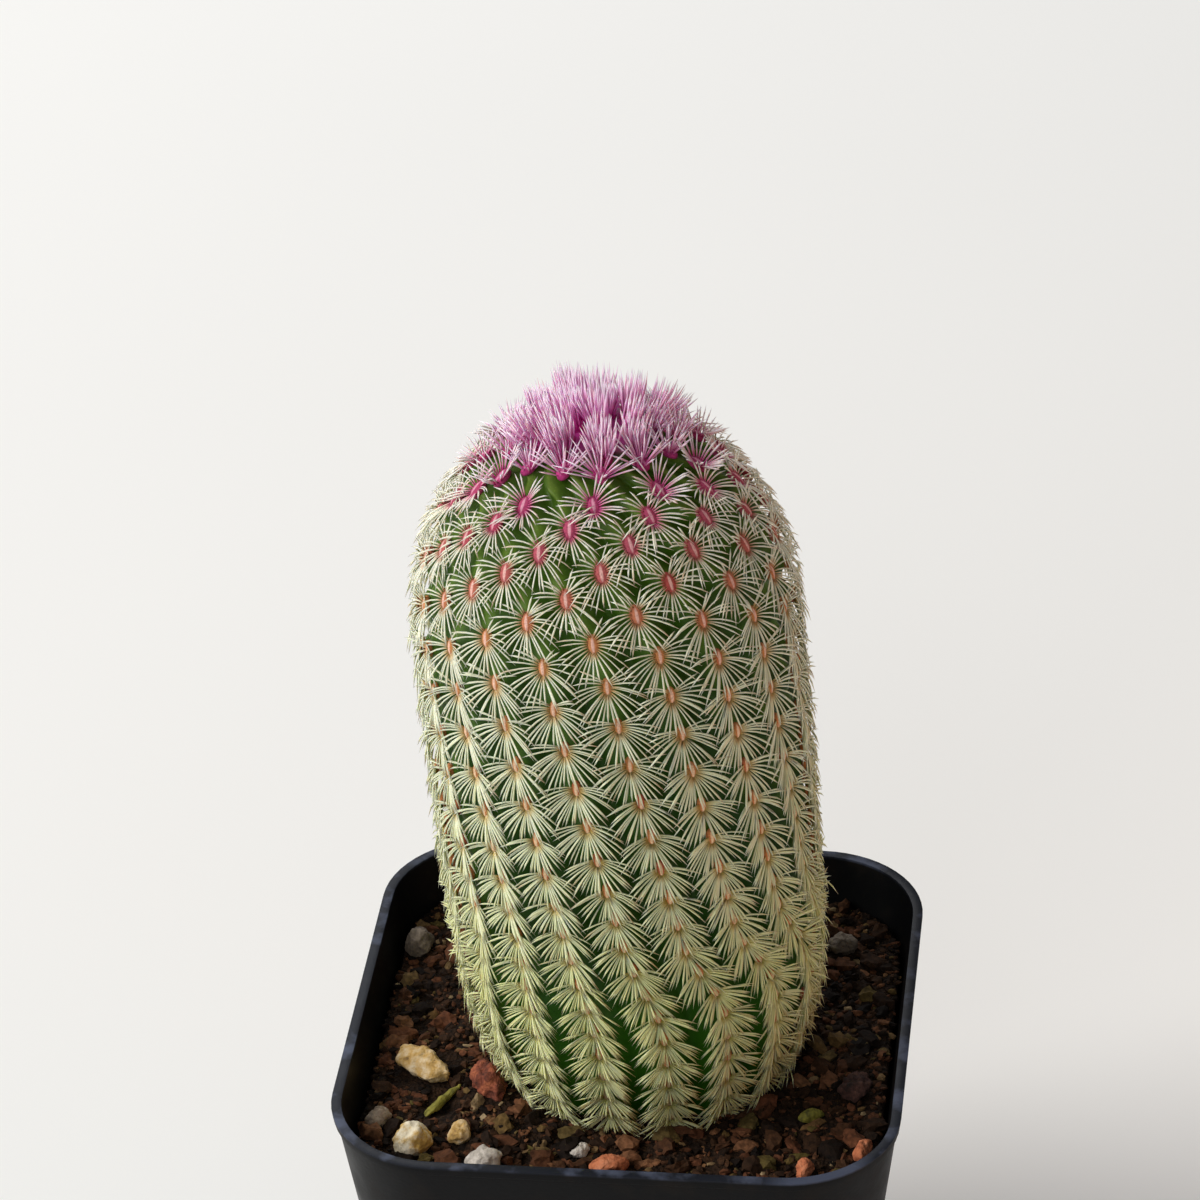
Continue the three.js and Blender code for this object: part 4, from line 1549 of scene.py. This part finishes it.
@dataclass
class LoosePieces:
    """The stones, bark, clay chips and plant scraps that lie on the mix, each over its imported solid."""

    finishes: tuple[tuple[str, Scrap], ...] = (
        ("stone_left", Scrap.STONE),
        ("stone_front_left", Scrap.LIMESTONE),
        ("stone_front", Scrap.PALE),
        ("pebble_front_left", Scrap.STONE),
        ("pebble_left", Scrap.WORN),
        ("pebble_front", Scrap.PALE),
        ("pebble_back_left", Scrap.PEBBLE),
        ("pebble_back_right", Scrap.PEBBLE),
        ("bark_left", Scrap.BARK),
        ("bark_right", Scrap.DARK_BARK),
        ("chip_front", Scrap.CLAY),
        ("chip_front_right", Scrap.CLAY),
        ("chip_right", Scrap.CLAY),
        ("husk_right", Scrap.PLANT),
        ("twig_left", Scrap.PLANT),
    )
    worn_edge: float = 0.28
    relief_share: float = 3.2
    relief_size: float = 1.2
    relief_level: float = 0.45

    def build(self) -> list[Piece]:
        """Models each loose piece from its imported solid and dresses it."""
        return [self._piece(node, scrap.value) for node, scrap in self.finishes]

    def _piece(self, node: str, finish: RoughStone) -> Piece:
        """Models one loose piece: its solid's form, broken and pitted more finely.

        Args:
            node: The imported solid.
            finish: What it is made of.

        Returns:
            The piece, which stands for the solid.
        """
        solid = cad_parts[node]
        mesh = solid.data.copy()
        mesh.transform(solid.matrix_world)
        piece = bpy.data.objects.new(f"{node}_looks", mesh)
        bpy.context.collection.objects.link(piece)
        with edit_mode(piece):
            bpy.ops.mesh.remove_doubles(threshold=0.01 * MM)
        finish_with(piece, "BEVEL", width=self.worn_edge * MM, segments=2, limit_method="NONE")
        finish_with(piece, "SUBSURF", levels=2, render_levels=2)
        roughen(piece, self.relief_size, self.relief_share * finish.relief, self.relief_level)
        piece.data.shade_smooth()
        finish.put_on(piece)
        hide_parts(node)
        return piece


# ---------------------------------------------------------------- studio


@dataclass
class Studio:
    """The pale floor, the soft lights and the photograph's camera."""

    floor_size: float = 9.0
    paint: FloorPaint = field(default_factory=FloorPaint)
    world_colour: str = "#f4f6f8"
    world_strength: float = 0.17
    lights: tuple[tuple[str, Triple, float, float, str], ...] = (
        ("key_light", (-1.9, -0.6, 1.6), 1.4, 60.0, "#fffbf6"),
        ("front_light", (-0.2, -1.1, 0.8), 0.6, 3.0, "#ffffff"),
        ("back_light", (-0.35, 0.95, 0.85), 0.6, 5.0, "#ffffff"),
        ("warm_light", (0.42, -0.12, 0.12), 0.25, 0.3, "#ffa860"),
    )
    lit_height: float = 90.0
    sensor: float = 36.0
    image_side: float = 1200.0
    focal_pixels: float = 5187.772
    azimuth: float = 7.638
    elevation: float = 31.91
    roll: float = -2.148
    distance: float = 651.69
    shift_right: float = -2.344
    shift_up: float = 50.722
    aim_height: float = 65.0

    def build(self) -> None:
        """Makes the floor, the lights and the camera."""
        self._floor()
        self._light_up()
        self._camera()
        bpy.context.scene.view_settings.view_transform = "Standard"

    def _floor(self) -> None:
        """Lays the painted floor under the pot."""
        floor = new_piece("studio_floor", bpy.ops.mesh.primitive_plane_add, size=self.floor_size)
        floor.data.materials.append(self.paint.material())

    def _light_up(self) -> None:
        """Lights the scene evenly from all round, and hangs soft square lights that face the plant.

        A light is a name, its place and side in metres, its power in watts and its colour.
        """
        world = bpy.data.worlds.new("studio")
        world.use_nodes = True
        shade = world.node_tree.nodes["Background"]
        shade.inputs["Color"].default_value = linear(self.world_colour)
        shade.inputs["Strength"].default_value = self.world_strength
        bpy.context.scene.world = world
        for name, place, size, power, colour in self.lights:
            light = bpy.data.lights.new(name, "AREA")
            light.shape = "SQUARE"
            light.size = size
            light.energy = power
            light.color = linear(colour)[:3]
            lamp = bpy.data.objects.new(name, light)
            lamp.location = place
            to_plant = Vector((0, 0, self.lit_height * MM)) - Vector(place)
            lamp.rotation_euler = to_plant.to_track_quat("-Z", "Y").to_euler()
            bpy.context.collection.objects.link(lamp)

    def _camera(self) -> None:
        """Sets the camera where the photograph was taken from."""
        azimuth, elevation, roll = (math.radians(v) for v in (self.azimuth, self.elevation, self.roll))
        right = Vector((math.cos(azimuth), math.sin(azimuth), 0))
        flat = math.cos(elevation)
        back = Vector((math.sin(azimuth) * flat, -math.cos(azimuth) * flat, math.sin(elevation)))
        up = back.cross(right)
        place = right * self.shift_right + up * self.shift_up + back * self.distance
        place += Vector((0, 0, self.aim_height))
        turned_right = right * math.cos(roll) + up * math.sin(roll)
        turned_up = up * math.cos(roll) - right * math.sin(roll)
        turn = Matrix((turned_right, turned_up, back)).transposed().to_4x4()
        lens = bpy.data.cameras.new("camera")
        lens.sensor_width = self.sensor
        lens.lens = self.focal_pixels * self.sensor / self.image_side
        lens.clip_start = 0.01
        camera = bpy.data.objects.new("camera", lens)
        camera.matrix_world = Matrix.Translation(place * MM) @ turn
        bpy.context.collection.objects.link(camera)
        bpy.context.scene.camera = camera


def main() -> None:
    """Builds the studio, the pot, the plant, the mix and what lies on it, and logs how many faces each piece has.
    """
    logging.basicConfig(level=logging.INFO, format="%(name)s: %(message)s")
    Studio().build()
    pot = PlantPot()
    plant = Cactus()
    loose = LoosePieces()
    mix = PottingMix(pot, plant.shape, clear_of=tuple(node for node, _ in loose.finishes))
    pieces = [pot.build(), *plant.build(), *mix.build(), *loose.build()]
    for piece in pieces:
        LOG.info("%s: %d faces", piece.name, len(piece.data.polygons))


if __name__ == "__main__":
    main()
